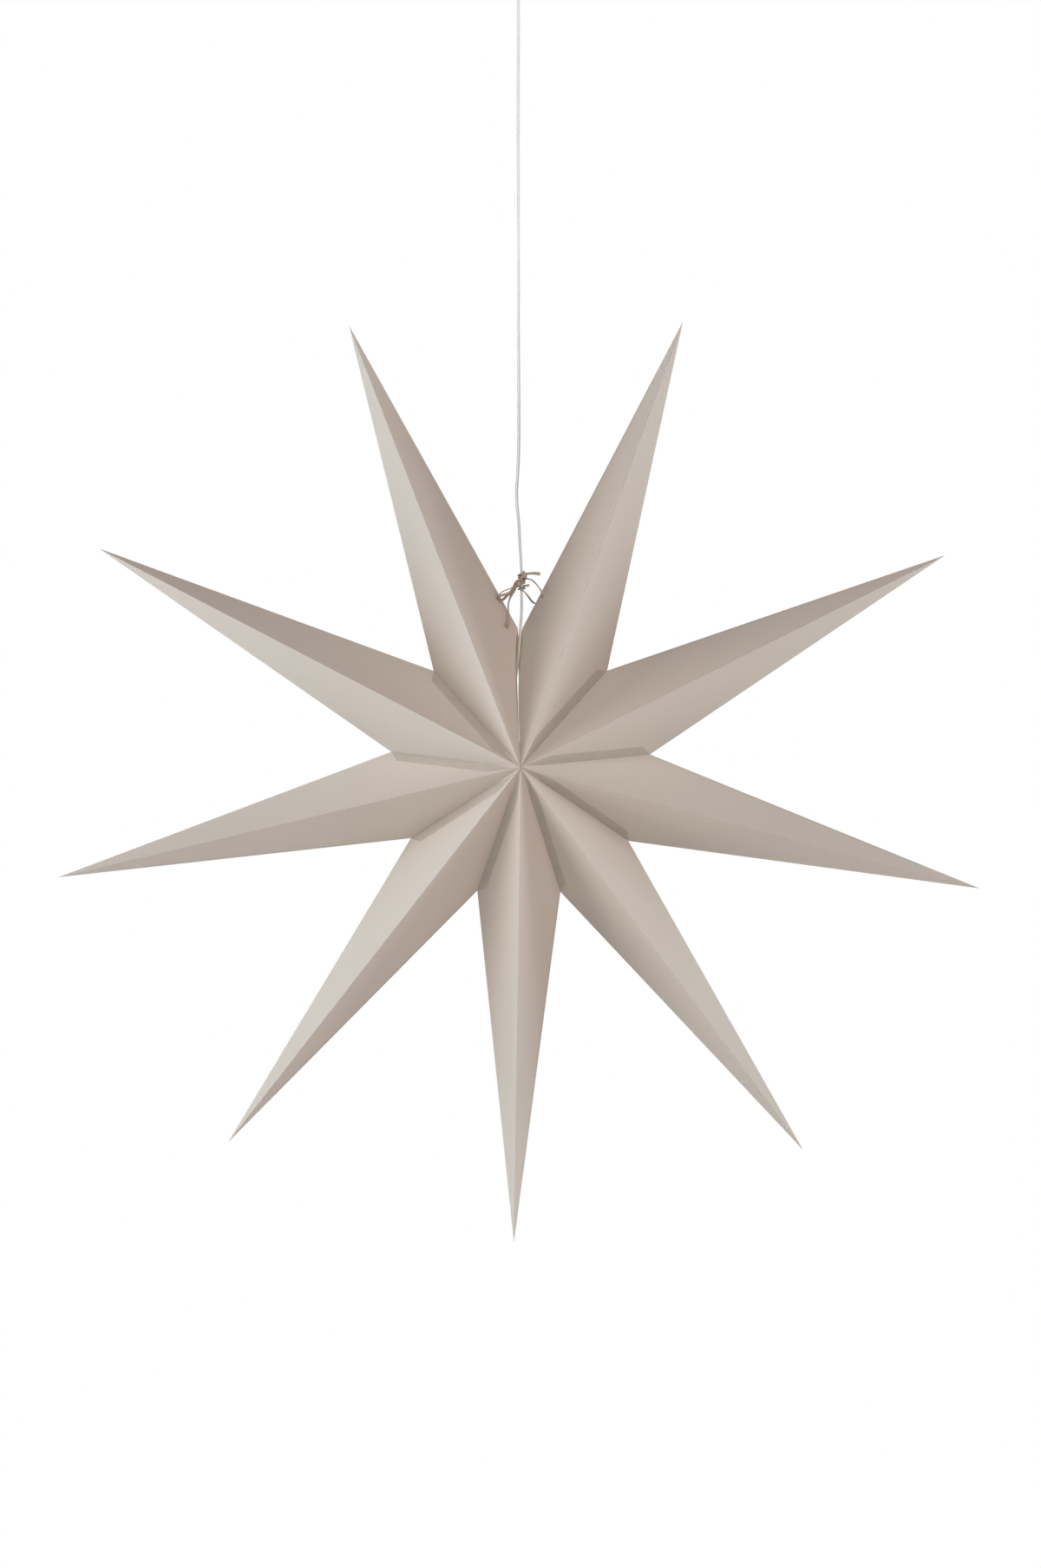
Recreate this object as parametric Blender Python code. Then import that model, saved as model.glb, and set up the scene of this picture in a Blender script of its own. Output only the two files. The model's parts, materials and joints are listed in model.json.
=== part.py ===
"""A folded paper star lantern on its pendant cord, with its lamp holder, bulb and ceiling cup.

Units are metres. X points to the right of someone who looks at the star, Y away from them and Z up.
The origin is the middle of the ceiling plate's top face, where the lantern is held.
The star's own measures are taken from its centre, and its angles run counterclockwise from +X
as seen from the front.
"""
import math

import bmesh
import bpy
from mathutils import Matrix, Vector

# Place of the star under the ceiling
STAR_DROP = 0.900
CORD_LEAN = 0.0022

# Star, from its centre
TIP_RADIUS = 0.500
NOTCH_RADIUS = 0.137
HALF_DEPTH = 0.125
HUB_RADIUS = 0.003
TIP_ANGLES = (111.2, 152.5, 193.3, 232.0, 269.2, 306.5, 345.3, 386.6, 430.0)
SLIT_NOTCH_RADIUS = 0.147
SLIT_FIRST_ANGLE = 91.1
SLIT_LAST_ANGLE = 449.2
PAPER = 0.0004
GLUE_GAP = 0.0003
FLAP_WIDTH = 0.014
FLAP_TAPER = 0.034
FLAP_SETBACK = 0.020
SEAM_WIDTH = 0.0045
SEAM_INSET = 0.0004
SEAM_SETBACK = 0.005
SEAM_END_SHARE = 0.82

# Slit edges: share of the slit's length and angle of each bend, from the hub outwards
SLIT_BOW_SHARE = 0.626
SLIT_BOW_FIRST_ANGLE = 93.05
SLIT_BOW_LAST_ANGLE = 451.2
SLIT_MOUTH_SHARE = 0.912
SLIT_MOUTH_FIRST_ANGLE = 92.3
SLIT_MOUTH_LAST_ANGLE = 449.1

# Holes for the tie strings, measured along the crease from the notch
FIRST_HOLE_ALONG = 0.037
LAST_HOLE_ALONG = 0.039
HOLE_INSET = 0.0034
HOLE_RADIUS = 0.0016

# Free cords
CORD_DIAMETER = 0.0036
STRING_DIAMETER = 0.0016
CORD_POINT_SPACING = 0.0112
STRING_POINT_SPACING = 0.0023
STRING_WRAP_RADIUS = 0.0033
STRING_WRAP_PITCH = 0.0024
STRING_WRAP_TURNS = 1.5
WRAP_POINTS_PER_TURN = 8
FIT_GAP = 0.0003

# Ceiling fitting, measured down from the ceiling
PLATE_RADIUS = 0.032
PLATE_THICKNESS = 0.002
PLATE_SLOT_RADIUS = 0.0022
PLATE_SLOT_LENGTH = 0.014
PLATE_SLOT_CENTRE = 0.018
TAB_WIDTH = 0.012
TAB_THICKNESS = 0.0015
CUP_RADIUS = 0.050
CUP_HEIGHT = 0.055
CUP_WALL = 0.0015
CUP_CORNER = 0.018
BLOCK_WIDTH = 0.022
BLOCK_DEPTH = 0.013
BLOCK_HEIGHT = 0.012
BLOCK_HOLE_RADIUS = 0.0016
BLOCK_HOLE_SPACING = 0.009
BLOCK_HANG = 0.006
GRIP_STEM_RADIUS = 0.005
GRIP_STEM_RISE = 0.009
GRIP_FLANGE_RADIUS = 0.008
GRIP_FLANGE_HEIGHT = 0.011
GRIP_TAPER = 0.0018
NUT_RADIUS = 0.0085
NUT_HEIGHT = 0.004
NUT_SIDES = 6
GRIP_SCREW_RADIUS = 0.0012
GRIP_SCREW_HEAD_RADIUS = 0.0026
GRIP_SCREW_HEAD_HEIGHT = 0.0018

# Lamp holder and bulb, measured from the top of the holder
LAMP_TOP = 0.034
LAMP_LEAN = -0.0085
HOLDER_RADIUS = 0.014
HOLDER_NECK_RADIUS = 0.0055
HOLDER_NECK_HEIGHT = 0.007
HOLDER_DOME_HEIGHT = 0.013
CAP_SKIRT = 0.006
HOLDER_WALL = 0.0016
CAP_HEIGHT = HOLDER_NECK_HEIGHT + HOLDER_DOME_HEIGHT + CAP_SKIRT
BODY_LENGTH = 0.0315
BODY_TAPER = 0.0008
CLAMP_WALL = 0.0012
CLAMP_COLLAR = 0.0016
CLAMP_DEPTH = 0.006
CONTACT_BLOCK_HEIGHT = 0.007
POST_RADIUS = 0.0028
POST_HEIGHT = 0.005
POST_SPACING = 0.0112
TERMINAL_SCREW_RADIUS = 0.0012
TERMINAL_HEAD_RADIUS = 0.0022
TERMINAL_HEAD_HEIGHT = 0.0012
TERMINAL_SCREW_DEPTH = 0.0035
SCREW_SLOT_WIDTH = 0.0006
SOCKET_RADIUS = 0.0078
SOCKET_WALL = 0.0004
SOCKET_LENGTH = 0.022
CONTACT_RADIUS = 0.0024
CONTACT_HEIGHT = 0.0016
THREAD_CLEARANCE = 0.0004
THREAD_CREST = SOCKET_RADIUS - SOCKET_WALL - THREAD_CLEARANCE
THREAD_DEPTH = 0.0006
THREAD_PITCH = 0.0028
THREAD_TURNS = 6
BASE_WALL = 0.0004
BASE_COLLAR = 0.0022
INSULATOR_HEIGHT = 0.0022
TIP_CONTACT_RADIUS = 0.0022
TIP_CONTACT_HEIGHT = 0.0014
GLASS_RADIUS = 0.0225
GLASS_LENGTH = 0.047
GLASS_WALL = 0.0009
GLASS_NECK_DEPTH = 0.004
GLASS_SHOULDER_ANGLE = 60
STEM_RADIUS = 0.0022
STEM_TOP_RADIUS = 0.0016
STEM_LENGTH = 0.027
STEM_FOOT = 0.0012
FILAMENT_DIAMETER = 0.0012
FILAMENT_RADIUS = 0.0062
FILAMENT_LENGTH = 0.018
FILAMENT_RUNS = 4
FILAMENT_BEND = 0.0022
FILAMENT_SPACING = 0.0024

# How finely round pieces are divided
ROUND_STEPS = 32
CUP_STEPS = 48
SMALL_STEPS = 16
CORD_SIDES = 2
CURVE_STEPS = 24
CORNER_STEPS = 6
DOME_STEPS = 8
GLASS_STEPS = 12
CUT_OVERRUN = 0.002
MERGE_DISTANCE = 0.00001
SMOOTH_ANGLE = math.radians(35)

# Routes of the free cords, as points from the star's centre: right, back, up
CORD_ROUTE = (
    (-0.0022, 0.0, 0.760), (-0.0025, 0.0, 0.700), (-0.0023, 0.0, 0.620), (-0.0020, 0.0, 0.540),
    (-0.0022, 0.0, 0.460), (-0.0018, 0.0, 0.380), (-0.0020, 0.0, 0.333), (-0.0032, 0.0, 0.306),
    (-0.0041, 0.0, 0.290), (-0.0036, 0.0, 0.276), (-0.0020, 0.0, 0.260), (-0.0009, 0.0, 0.240),
    (0.0002, 0.0, 0.222), (0.0010, 0.0, 0.206), (0.0011, 0.0, 0.196), (0.0011, 0.0, 0.186),
    (0.0012, 0.0, 0.163), (0.0001, 0.0, 0.149), (-0.0004, 0.0, 0.138), (-0.0013, 0.0, 0.128),
    (-0.0020, 0.0, 0.118), (-0.0036, 0.0, 0.106), (-0.0056, 0.0, 0.092), (-0.0074, 0.0, 0.076),
    (-0.0084, 0.0, 0.060), (-0.0085, 0.0, 0.048),
)
KNOT_CENTRE = 0.0011
KNOT_HEIGHT = 0.196
KNOT_UPPER_RISE = 0.0075
KNOT_LOWER_DROP = 0.0085
KNOT_LEFT_DROP = 0.0020
# Tie string on the last point: free tail, first wrap, round the crease through the hole, second wrap, stub
RIGHT_TAIL = ((0.0207, -0.0060, 0.2035), (0.0150, -0.0056, 0.2043), (0.0090, -0.0046, 0.2041))
RIGHT_UPPER_WRAP = KNOT_HEIGHT + KNOT_UPPER_RISE
RIGHT_ARC = (
    (0.0072, 0.0022, 0.1991), (0.0115, -0.0030, 0.1975), (0.0158, -0.0082, 0.1935),
    (0.0200, -0.0122, 0.1880), (0.0226, -0.0130, 0.1832), (0.0231, -0.0105, 0.1804),
    (0.0231, -0.0068, 0.1800), (0.0231, 0.0, 0.1800), (0.0231, 0.0068, 0.1800),
    (0.0230, 0.0108, 0.1792), (0.0208, 0.0128, 0.1765), (0.0174, 0.0110, 0.1740),
    (0.0143, 0.0070, 0.1738), (0.0110, 0.0028, 0.1765), (0.0072, -0.0010, 0.1815),
)
RIGHT_LOWER_WRAP = KNOT_HEIGHT - KNOT_LOWER_DROP
RIGHT_STUB = ((0.0060, 0.0036, 0.1918), (0.0092, 0.0030, 0.1925))
# Tie string on the first point: hanging tail, bundle, wrap, round the crease through the hole, bundle, end
LEFT_TAIL = (
    (-0.0146, -0.0224, 0.1478), (-0.0135, -0.0180, 0.1512), (-0.0129, -0.0138, 0.1568),
    (-0.0128, -0.0108, 0.1640), (-0.0127, -0.0090, 0.1720), (-0.0108, -0.0070, 0.1785),
    (-0.0070, -0.0056, 0.1860), (-0.0035, -0.0048, 0.1920),
)
LEFT_WRAP = KNOT_HEIGHT - KNOT_LEFT_DROP
LEFT_LOOP = (
    (-0.0038, 0.0048, 0.1964), (-0.0084, 0.0060, 0.1894), (-0.0134, 0.0092, 0.1826),
    (-0.0174, 0.0128, 0.1787), (-0.0206, 0.0143, 0.1772), (-0.0231, 0.0127, 0.1771),
    (-0.0238, 0.0090, 0.1775), (-0.0238, 0.0, 0.1776), (-0.0238, -0.0090, 0.1777),
    (-0.0231, -0.0127, 0.1787), (-0.0206, -0.0143, 0.1803), (-0.0174, -0.0134, 0.1814),
    (-0.0135, -0.0112, 0.1824), (-0.0090, -0.0088, 0.1862), (-0.0045, -0.0072, 0.1918),
    (-0.0006, -0.0063, 0.1972), (0.0024, -0.0062, 0.2022), (0.0036, -0.0058, 0.2068),
)


class Plane:
    """A plane by its outward normal and its distance from the centre along it."""

    def __init__(self, normal, point):
        self.normal = normal.normalized()
        self.distance = self.normal.dot(point)

    def shifted(self, outward):
        return Plane(self.normal, self.normal * (self.distance + outward))


def meet(first, second, third):
    rows = Matrix((first.normal, second.normal, third.normal))
    return rows.inverted() @ Vector((first.distance, second.distance, third.distance))


def direction(degrees):
    angle = math.radians(degrees)
    return Vector((math.cos(angle), 0, math.sin(angle)))


MIDDLE = Plane(Vector((0, 1, 0)), Vector())
FRONT_POLE = Vector((0, -HALF_DEPTH, 0))


def clear_scene():
    for old in list(bpy.data.objects):
        bpy.data.objects.remove(old, do_unlink=True)


def material(name, colour, roughness, metallic=0.0, transmission=0.0):
    made = bpy.data.materials.new(name)
    made.use_nodes = True
    shader = made.node_tree.nodes["Principled BSDF"]
    shader.inputs["Base Color"].default_value = (*colour, 1.0)
    shader.inputs["Roughness"].default_value = roughness
    shader.inputs["Metallic"].default_value = metallic
    shader.inputs["Transmission Weight"].default_value = transmission
    made.diffuse_color = (*colour, 1.0)
    return made


def empty_at(name, place, parent=None):
    """A guide for other objects, placed from its parent."""
    made = bpy.data.objects.new(name, None)
    made.parent = parent
    made.location = place
    bpy.context.scene.collection.objects.link(made)
    return made


def link(name, data, finish, parent):
    made = bpy.data.objects.new(name, data)
    data.materials.append(finish)
    made.parent = parent
    bpy.context.scene.collection.objects.link(made)
    return made


def mesh_object(name, shape, finish, parent, smooth=True):
    data = bpy.data.meshes.new(name)
    shape.to_mesh(data)
    shape.free()
    if smooth:
        data.shade_smooth()
        data.set_sharp_from_angle(angle=SMOOTH_ANGLE)
    return link(name, data, finish, parent)


def turned_shape(outline, steps):
    """Turns a closed outline of (radius, height) points round the Z axis."""
    shape = bmesh.new()
    corners = [shape.verts.new((radius, 0, height)) for radius, height in outline]
    edges = [
        shape.edges.new(pair)
        for pair in zip(corners, corners[1:] + corners[:1])
        if pair[0].co.x > 0 or pair[1].co.x > 0
    ]
    bmesh.ops.spin(
        shape, geom=corners + edges, axis=(0, 0, 1), cent=(0, 0, 0),
        angle=math.tau, steps=steps, use_merge=True,
    )
    bmesh.ops.remove_doubles(shape, verts=shape.verts, dist=MERGE_DISTANCE)
    bmesh.ops.recalc_face_normals(shape, faces=shape.faces)
    return shape


def turned(name, outline, finish, parent, steps=ROUND_STEPS):
    return mesh_object(name, turned_shape(outline, steps), finish, parent)


def arc(centre, radius, start, end, count):
    """Points of (radius, height) on part of a circle, both ends included."""
    angles = [math.radians(start + (end - start) * i / count) for i in range(count + 1)]
    return [(centre[0] + radius * math.cos(a), centre[1] + radius * math.sin(a)) for a in angles]


def box_shape(low, high):
    shape = bmesh.new()
    bmesh.ops.create_cube(shape, size=1.0)
    size = Vector(high) - Vector(low)
    middle = (Vector(high) + Vector(low)) / 2
    bmesh.ops.transform(
        shape, matrix=Matrix.Translation(middle) @ Matrix.Diagonal((*size, 1.0)), verts=shape.verts
    )
    return shape


def rod_shape(radius, start, end, steps):
    """A plain round rod between two points."""
    shape = bmesh.new()
    along = Vector(end) - Vector(start)
    turn = along.to_track_quat("Z", "Y").to_matrix().to_4x4()
    place = Matrix.Translation((Vector(start) + Vector(end)) / 2) @ turn
    bmesh.ops.create_cone(
        shape, cap_ends=True, cap_tris=False, segments=steps, radius1=radius, radius2=radius,
        depth=along.length, matrix=place,
    )
    return shape


def cutter(name, shape, parent):
    made = mesh_object(name, shape, bpy.data.materials[0], parent, smooth=False)
    made.hide_render = True
    made.display_type = "WIRE"
    return made


def cut(target, tool, operation="DIFFERENCE"):
    change = target.modifiers.new(tool.name, "BOOLEAN")
    change.object = tool
    change.operation = operation
    change.solver = "EXACT"


def between(start, end, low, high, at):
    """The mix of two points at one knot value between two others."""
    return (start * (high - at) + end * (at - low)) / (high - low)


def smooth_route(points, spacing):
    """Evenly spaced points on a smooth curve through the points given, which never overshoots them."""
    ends = [points[0] * 2 - points[1], *points, points[-1] * 2 - points[-2]]
    fine = []
    for four in zip(ends, ends[1:], ends[2:], ends[3:]):
        knots = [0.0]
        for start, end in zip(four, four[1:]):
            knots.append(knots[-1] + math.sqrt((end - start).length))
        for i in range(CURVE_STEPS):
            at = knots[1] + (knots[2] - knots[1]) * i / CURVE_STEPS
            once = [between(*four[j:j + 2], *knots[j:j + 2], at) for j in range(3)]
            twice = [between(*once[j:j + 2], knots[j], knots[j + 2], at) for j in range(2)]
            fine.append(between(*twice, knots[1], knots[2], at))
    fine.append(points[-1])
    steps = [0.0]
    for start, end in zip(fine, fine[1:]):
        steps.append(steps[-1] + (end - start).length)
    count = max(2, round(steps[-1] / spacing))
    even, place = [], 0
    for i in range(count + 1):
        wanted = steps[-1] * i / count
        while place < len(steps) - 2 and steps[place + 1] < wanted:
            place += 1
        share = (wanted - steps[place]) / (steps[place + 1] - steps[place])
        even.append(fine[place].lerp(fine[place + 1], min(share, 1.0)))
    return even


def wrap(height, rise, start_angle, turns):
    """Points of a string that winds round the pendant cord, as angles from the right through the front."""
    count = round(abs(turns) * WRAP_POINTS_PER_TURN)
    places = []
    for i in range(count + 1):
        angle = math.radians(start_angle) + math.tau * turns * i / count
        places.append((
            KNOT_CENTRE + STRING_WRAP_RADIUS * math.cos(angle),
            -STRING_WRAP_RADIUS * math.sin(angle),
            height + rise * i / count,
        ))
    return places


def least_gap(places, diameter):
    """The least clear distance between parts of a cord that aren't neighbours along it."""
    step = (places[1] - places[0]).length
    apart = math.ceil(math.pi * diameter / step)
    gaps = [
        (far - near).length - diameter
        for i, near in enumerate(places) for far in places[i + apart:]
    ]
    return min(gaps, default=0.0)


def cord(name, route, diameter, spacing, finish, parent):
    """A round cord with closed ends through the points of its route."""
    data = bpy.data.curves.new(name, "CURVE")
    data.dimensions = "3D"
    data.bevel_depth = diameter / 2
    data.bevel_resolution = CORD_SIDES
    data.use_fill_caps = True
    places = smooth_route([Vector(point) for point in route], spacing)
    run = data.splines.new("POLY")
    run.points.add(len(places) - 1)
    for spot, place in zip(run.points, places):
        spot.co = (*place, 1.0)
        spot.radius = 1.0
    run.use_smooth = True
    length = sum((end - start).length for start, end in zip(places, places[1:]))
    apart = least_gap(places, diameter)
    print(f"{name}: {len(places)} points, {length:.3f} m long, {apart:.4f} m from itself")
    return link(name, data, finish, parent)


def facet(tip_angle, notch_angle, notch_radius):
    """The outer plane of a front facet, from the hub's pole to the tip and the notch."""
    tip = direction(tip_angle) * TIP_RADIUS
    notch = direction(notch_angle) * notch_radius
    normal = (tip - FRONT_POLE).cross(notch - FRONT_POLE)
    return Plane(normal if normal.y < 0 else -normal, tip)


def on_plane(plane, radius, angle):
    """The point of a facet's plane that stands in front of a place on the mid-plane."""
    spot = direction(angle) * radius
    depth = (plane.distance - plane.normal.dot(spot)) / plane.normal.y
    return spot + Vector((0, depth, 0))


def crease_corner(outer, inner, notch):
    """The outer and inner corner at a notch, square to the side crease there."""
    along = MIDDLE.normal.cross(outer.normal)
    square = Plane(along, notch)
    return notch, meet(inner, MIDDLE, square)


class Sheet:
    """The folded sheet of one point: outer and inner corners, then the faces between them."""

    def __init__(self):
        self.shape = bmesh.new()
        self.corners = {}

    def add(self, name, outer, inner):
        """A corner of the front half, and its mirror image behind unless it lies on the mid-plane."""
        self.corners[name] = (self.shape.verts.new(outer), self.shape.verts.new(inner))
        if abs(outer.y) < MERGE_DISTANCE:
            self.corners[name + "_back"] = self.corners[name]
            return
        flip = Vector((1, -1, 1))
        self.corners[name + "_back"] = (
            self.shape.verts.new(outer * flip), self.shape.verts.new(inner * flip)
        )

    def face(self, names):
        """One flat facet with its two skins, and the same behind."""
        for ending in ("", "_back"):
            ring = [self.corners[name + ending] for name in names]
            for skin in (0, 1):
                self.shape.faces.new([corner[skin] for corner in ring])

    def rim(self, names):
        """The cut edge of the paper along the corners named, and the same behind."""
        for ending in ("", "_back"):
            ring = [self.corners[name + ending] for name in names]
            for start, end in zip(ring, ring[1:]):
                self.shape.faces.new((start[0], end[0], end[1], start[1]))

    def close(self):
        bmesh.ops.recalc_face_normals(self.shape, faces=self.shape.faces)
        return self.shape


def valley_angle(index):
    """The angle of the valley between a point and the next one counterclockwise."""
    return (TIP_ANGLES[index] + TIP_ANGLES[index + 1]) / 2


def right_facet(index):
    if index == 0:
        return facet(TIP_ANGLES[0], SLIT_FIRST_ANGLE, SLIT_NOTCH_RADIUS)
    return facet(TIP_ANGLES[index], valley_angle(index - 1), NOTCH_RADIUS)


def left_notch(index):
    """Angle and radius of the notch on the counterclockwise side of a point."""
    if index == len(TIP_ANGLES) - 1:
        return SLIT_LAST_ANGLE, SLIT_NOTCH_RADIUS
    return valley_angle(index), NOTCH_RADIUS


def left_facet(index):
    return facet(TIP_ANGLES[index], *left_notch(index))


def add_flap(sheet, outer_plane, inner_plane, inward):
    """The glue flap beside the left valley fold: a strip with both its ends cut slanting."""
    start = sheet.corners["left"][0].co
    end = sheet.corners["left_notch"][0].co
    along = (end - start).normalized()
    over = outer_plane.normal.cross(along)
    over = over if over.dot(inward) > 0 else -over
    drop = inner_plane.normal * (inner_plane.distance - outer_plane.distance)
    near = start + along * FLAP_TAPER + over * FLAP_WIDTH
    far = end - along * FLAP_SETBACK + over * FLAP_WIDTH
    sheet.add("flap_near", near, near + drop)
    sheet.add("flap_far", far, far + drop)
    sheet.face(("left", "flap_near", "flap_far", "left_notch"))


def first_right_edge(sheet, outer, inner):
    """The bowed raw edge at the slit."""
    notch = direction(SLIT_FIRST_ANGLE) * SLIT_NOTCH_RADIUS
    for name, share, angle in (
        ("right_bow", SLIT_BOW_SHARE, SLIT_BOW_FIRST_ANGLE),
        ("right_mouth", SLIT_MOUTH_SHARE, SLIT_MOUTH_FIRST_ANGLE),
    ):
        spot = (SLIT_NOTCH_RADIUS * share, angle)
        sheet.add(name, on_plane(outer, *spot), on_plane(inner, *spot))
    sheet.add("right_notch", *crease_corner(outer, inner, notch))
    return ["right", "right_bow", "right_mouth", "right_notch"]


def last_left_edge(sheet, outer, inner):
    notch = direction(SLIT_LAST_ANGLE) * SLIT_NOTCH_RADIUS
    for name, share, angle in (
        ("left_bow", SLIT_BOW_SHARE, SLIT_BOW_LAST_ANGLE),
        ("left_mouth", SLIT_MOUTH_SHARE, SLIT_MOUTH_LAST_ANGLE),
    ):
        spot = (SLIT_NOTCH_RADIUS * share, angle)
        sheet.add(name, on_plane(outer, *spot), on_plane(inner, *spot))
    sheet.add("left_notch", *crease_corner(outer, inner, notch))
    return ["left", "left_bow", "left_mouth", "left_notch"]


def point_sheet(index):
    """One point of the star as a folded sheet of paper, open towards the hub."""
    last = len(TIP_ANGLES) - 1
    tip_angle = TIP_ANGLES[index]
    right, left = right_facet(index), left_facet(index)
    right_in, left_in = right.shifted(-PAPER), left.shifted(-PAPER)
    hub_cut = Plane(direction(tip_angle), direction(tip_angle) * HUB_RADIUS)
    sheet = Sheet()
    sheet.add("hub", meet(right, left, hub_cut), meet(right_in, left_in, hub_cut))
    sheet.add("tip", direction(tip_angle) * TIP_RADIUS, meet(right_in, left_in, MIDDLE))

    if index == 0:
        spot = (HUB_RADIUS / math.cos(math.radians(tip_angle - SLIT_BOW_FIRST_ANGLE)), SLIT_BOW_FIRST_ANGLE)
        sheet.add("right", on_plane(right, *spot), on_plane(right_in, *spot))
        right_edge = first_right_edge(sheet, right, right_in)
    else:
        raw = left_facet(index - 1).shifted(GLUE_GAP)
        sheet.add("right", meet(right, raw, hub_cut), meet(right_in, raw, hub_cut))
        sheet.add("right_notch", meet(right, raw, MIDDLE), meet(right_in, raw, MIDDLE))
        right_edge = ["right", "right_notch"]

    if index == last:
        spot = (HUB_RADIUS / math.cos(math.radians(SLIT_BOW_LAST_ANGLE - tip_angle)), SLIT_BOW_LAST_ANGLE)
        sheet.add("left", on_plane(left, *spot), on_plane(left_in, *spot))
        left_edge = last_left_edge(sheet, left, left_in)
    else:
        fold_out = right_facet(index + 1).shifted(-PAPER - GLUE_GAP)
        fold_in = fold_out.shifted(-PAPER)
        sheet.add("left", meet(left, fold_out, hub_cut), meet(left_in, fold_in, hub_cut))
        sheet.add("left_notch", meet(left, fold_out, MIDDLE), meet(left_in, fold_in, MIDDLE))
        left_edge = ["left", "left_notch"]

    sheet.face(["hub", *right_edge, "tip"])
    sheet.face(["hub", *left_edge, "tip"])
    sheet.rim(["hub", *right_edge])
    if index == last:
        sheet.rim(["hub", *left_edge])
    else:
        ridge = (direction(TIP_ANGLES[index + 1]) * TIP_RADIUS + FRONT_POLE) / 2
        add_flap(sheet, fold_out, fold_in, ridge - sheet.corners["left"][0].co)
        sheet.rim(["hub", "left", "flap_near", "flap_far", "left_notch"])
    return sheet.close()


def seam_flap(index):
    """The strip that closes a point's sheet: glued inside the front left facet, along its side crease."""
    plane = left_facet(index)
    angle, radius = left_notch(index)
    notch = direction(angle) * radius
    tip = direction(TIP_ANGLES[index]) * TIP_RADIUS
    run = tip - notch
    along = run.normalized()
    over = plane.normal.cross(along)
    over = over if over.dot(FRONT_POLE - notch) > 0 else -over
    middle, inside = plane.normal * (-PAPER / 2), plane.normal * (-2 * PAPER)
    edge = PAPER / 2 + SEAM_INSET
    corners = []
    for distance, across in (
        (SEAM_SETBACK, edge), (SEAM_SETBACK + SEAM_WIDTH, edge + SEAM_WIDTH),
        (run.length * SEAM_END_SHARE - SEAM_WIDTH, edge + SEAM_WIDTH),
        (run.length * SEAM_END_SHARE, edge),
    ):
        corners.append(notch + along * distance + over * across)
    shape = bmesh.new()
    top = [shape.verts.new(corner + middle) for corner in corners]
    bottom = [shape.verts.new(corner + inside) for corner in corners]
    shape.faces.new(top)
    shape.faces.new(bottom)
    for i, start in enumerate(top):
        following = (i + 1) % len(top)
        shape.faces.new((start, top[following], bottom[following], bottom[i]))
    bmesh.ops.recalc_face_normals(shape, faces=shape.faces)
    return shape


def crease_spot(notch_angle, tip_angle, along, inset):
    """A place beside a side crease, on the point's own side, seen from the front."""
    notch = direction(notch_angle) * SLIT_NOTCH_RADIUS
    tip = direction(tip_angle) * TIP_RADIUS
    run = (tip - notch).normalized()
    aside = MIDDLE.normal.cross(run)
    aside = aside if aside.dot(direction(tip_angle) - direction(notch_angle)) > 0 else -aside
    return notch + run * along + aside * inset


def build_points(star, paper):
    points = []
    for index in range(len(TIP_ANGLES)):
        name = f"point_{index + 1}"
        points.append(mesh_object(name, point_sheet(index), paper, star, smooth=False))
        cut(points[-1], cutter(f"{name}_seam", seam_flap(index), star), "UNION")
    for target, notch_angle, tip_angle, along in (
        (points[0], SLIT_FIRST_ANGLE, TIP_ANGLES[0], FIRST_HOLE_ALONG),
        (points[-1], SLIT_LAST_ANGLE, TIP_ANGLES[-1], LAST_HOLE_ALONG),
    ):
        spot = crease_spot(notch_angle, tip_angle, along, HOLE_INSET)
        print(target.name, "string hole at", tuple(round(value, 4) for value in spot))
        reach = Vector((0, HALF_DEPTH, 0))
        hole = rod_shape(HOLE_RADIUS, spot - reach, spot + reach, SMALL_STEPS)
        cut(target, cutter(f"{target.name}_hole", hole, star))


def build_cords(star, hanging, cord_white, string_brown):
    """The pendant cord from the terminal block to the lamp, and the two tie strings round it."""
    block_bottom = PLATE_THICKNESS + BLOCK_HANG + BLOCK_HEIGHT
    top = (-CORD_LEAN, 0.0, STAR_DROP - block_bottom - FIT_GAP)
    entry = (LAMP_LEAN, 0.0, LAMP_TOP)
    end = (LAMP_LEAN, 0.0, LAMP_TOP - HOLDER_NECK_HEIGHT - CLAMP_DEPTH)
    route = (top, *CORD_ROUTE, entry, end)
    cord("pendant_cord", route, CORD_DIAMETER, CORD_POINT_SPACING, cord_white, hanging)
    rise = STRING_WRAP_PITCH * STRING_WRAP_TURNS
    right = (
        *RIGHT_TAIL, *wrap(RIGHT_UPPER_WRAP, -rise, 90, STRING_WRAP_TURNS), *RIGHT_ARC,
        *wrap(RIGHT_LOWER_WRAP, rise, 90, STRING_WRAP_TURNS), *RIGHT_STUB,
    )
    left = (*LEFT_TAIL, *wrap(LEFT_WRAP, rise, 90, -STRING_WRAP_TURNS), *LEFT_LOOP)
    cord("tie_string_right", right, STRING_DIAMETER, STRING_POINT_SPACING, string_brown, star)
    cord("tie_string_left", left, STRING_DIAMETER, STRING_POINT_SPACING, string_brown, star)


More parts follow.
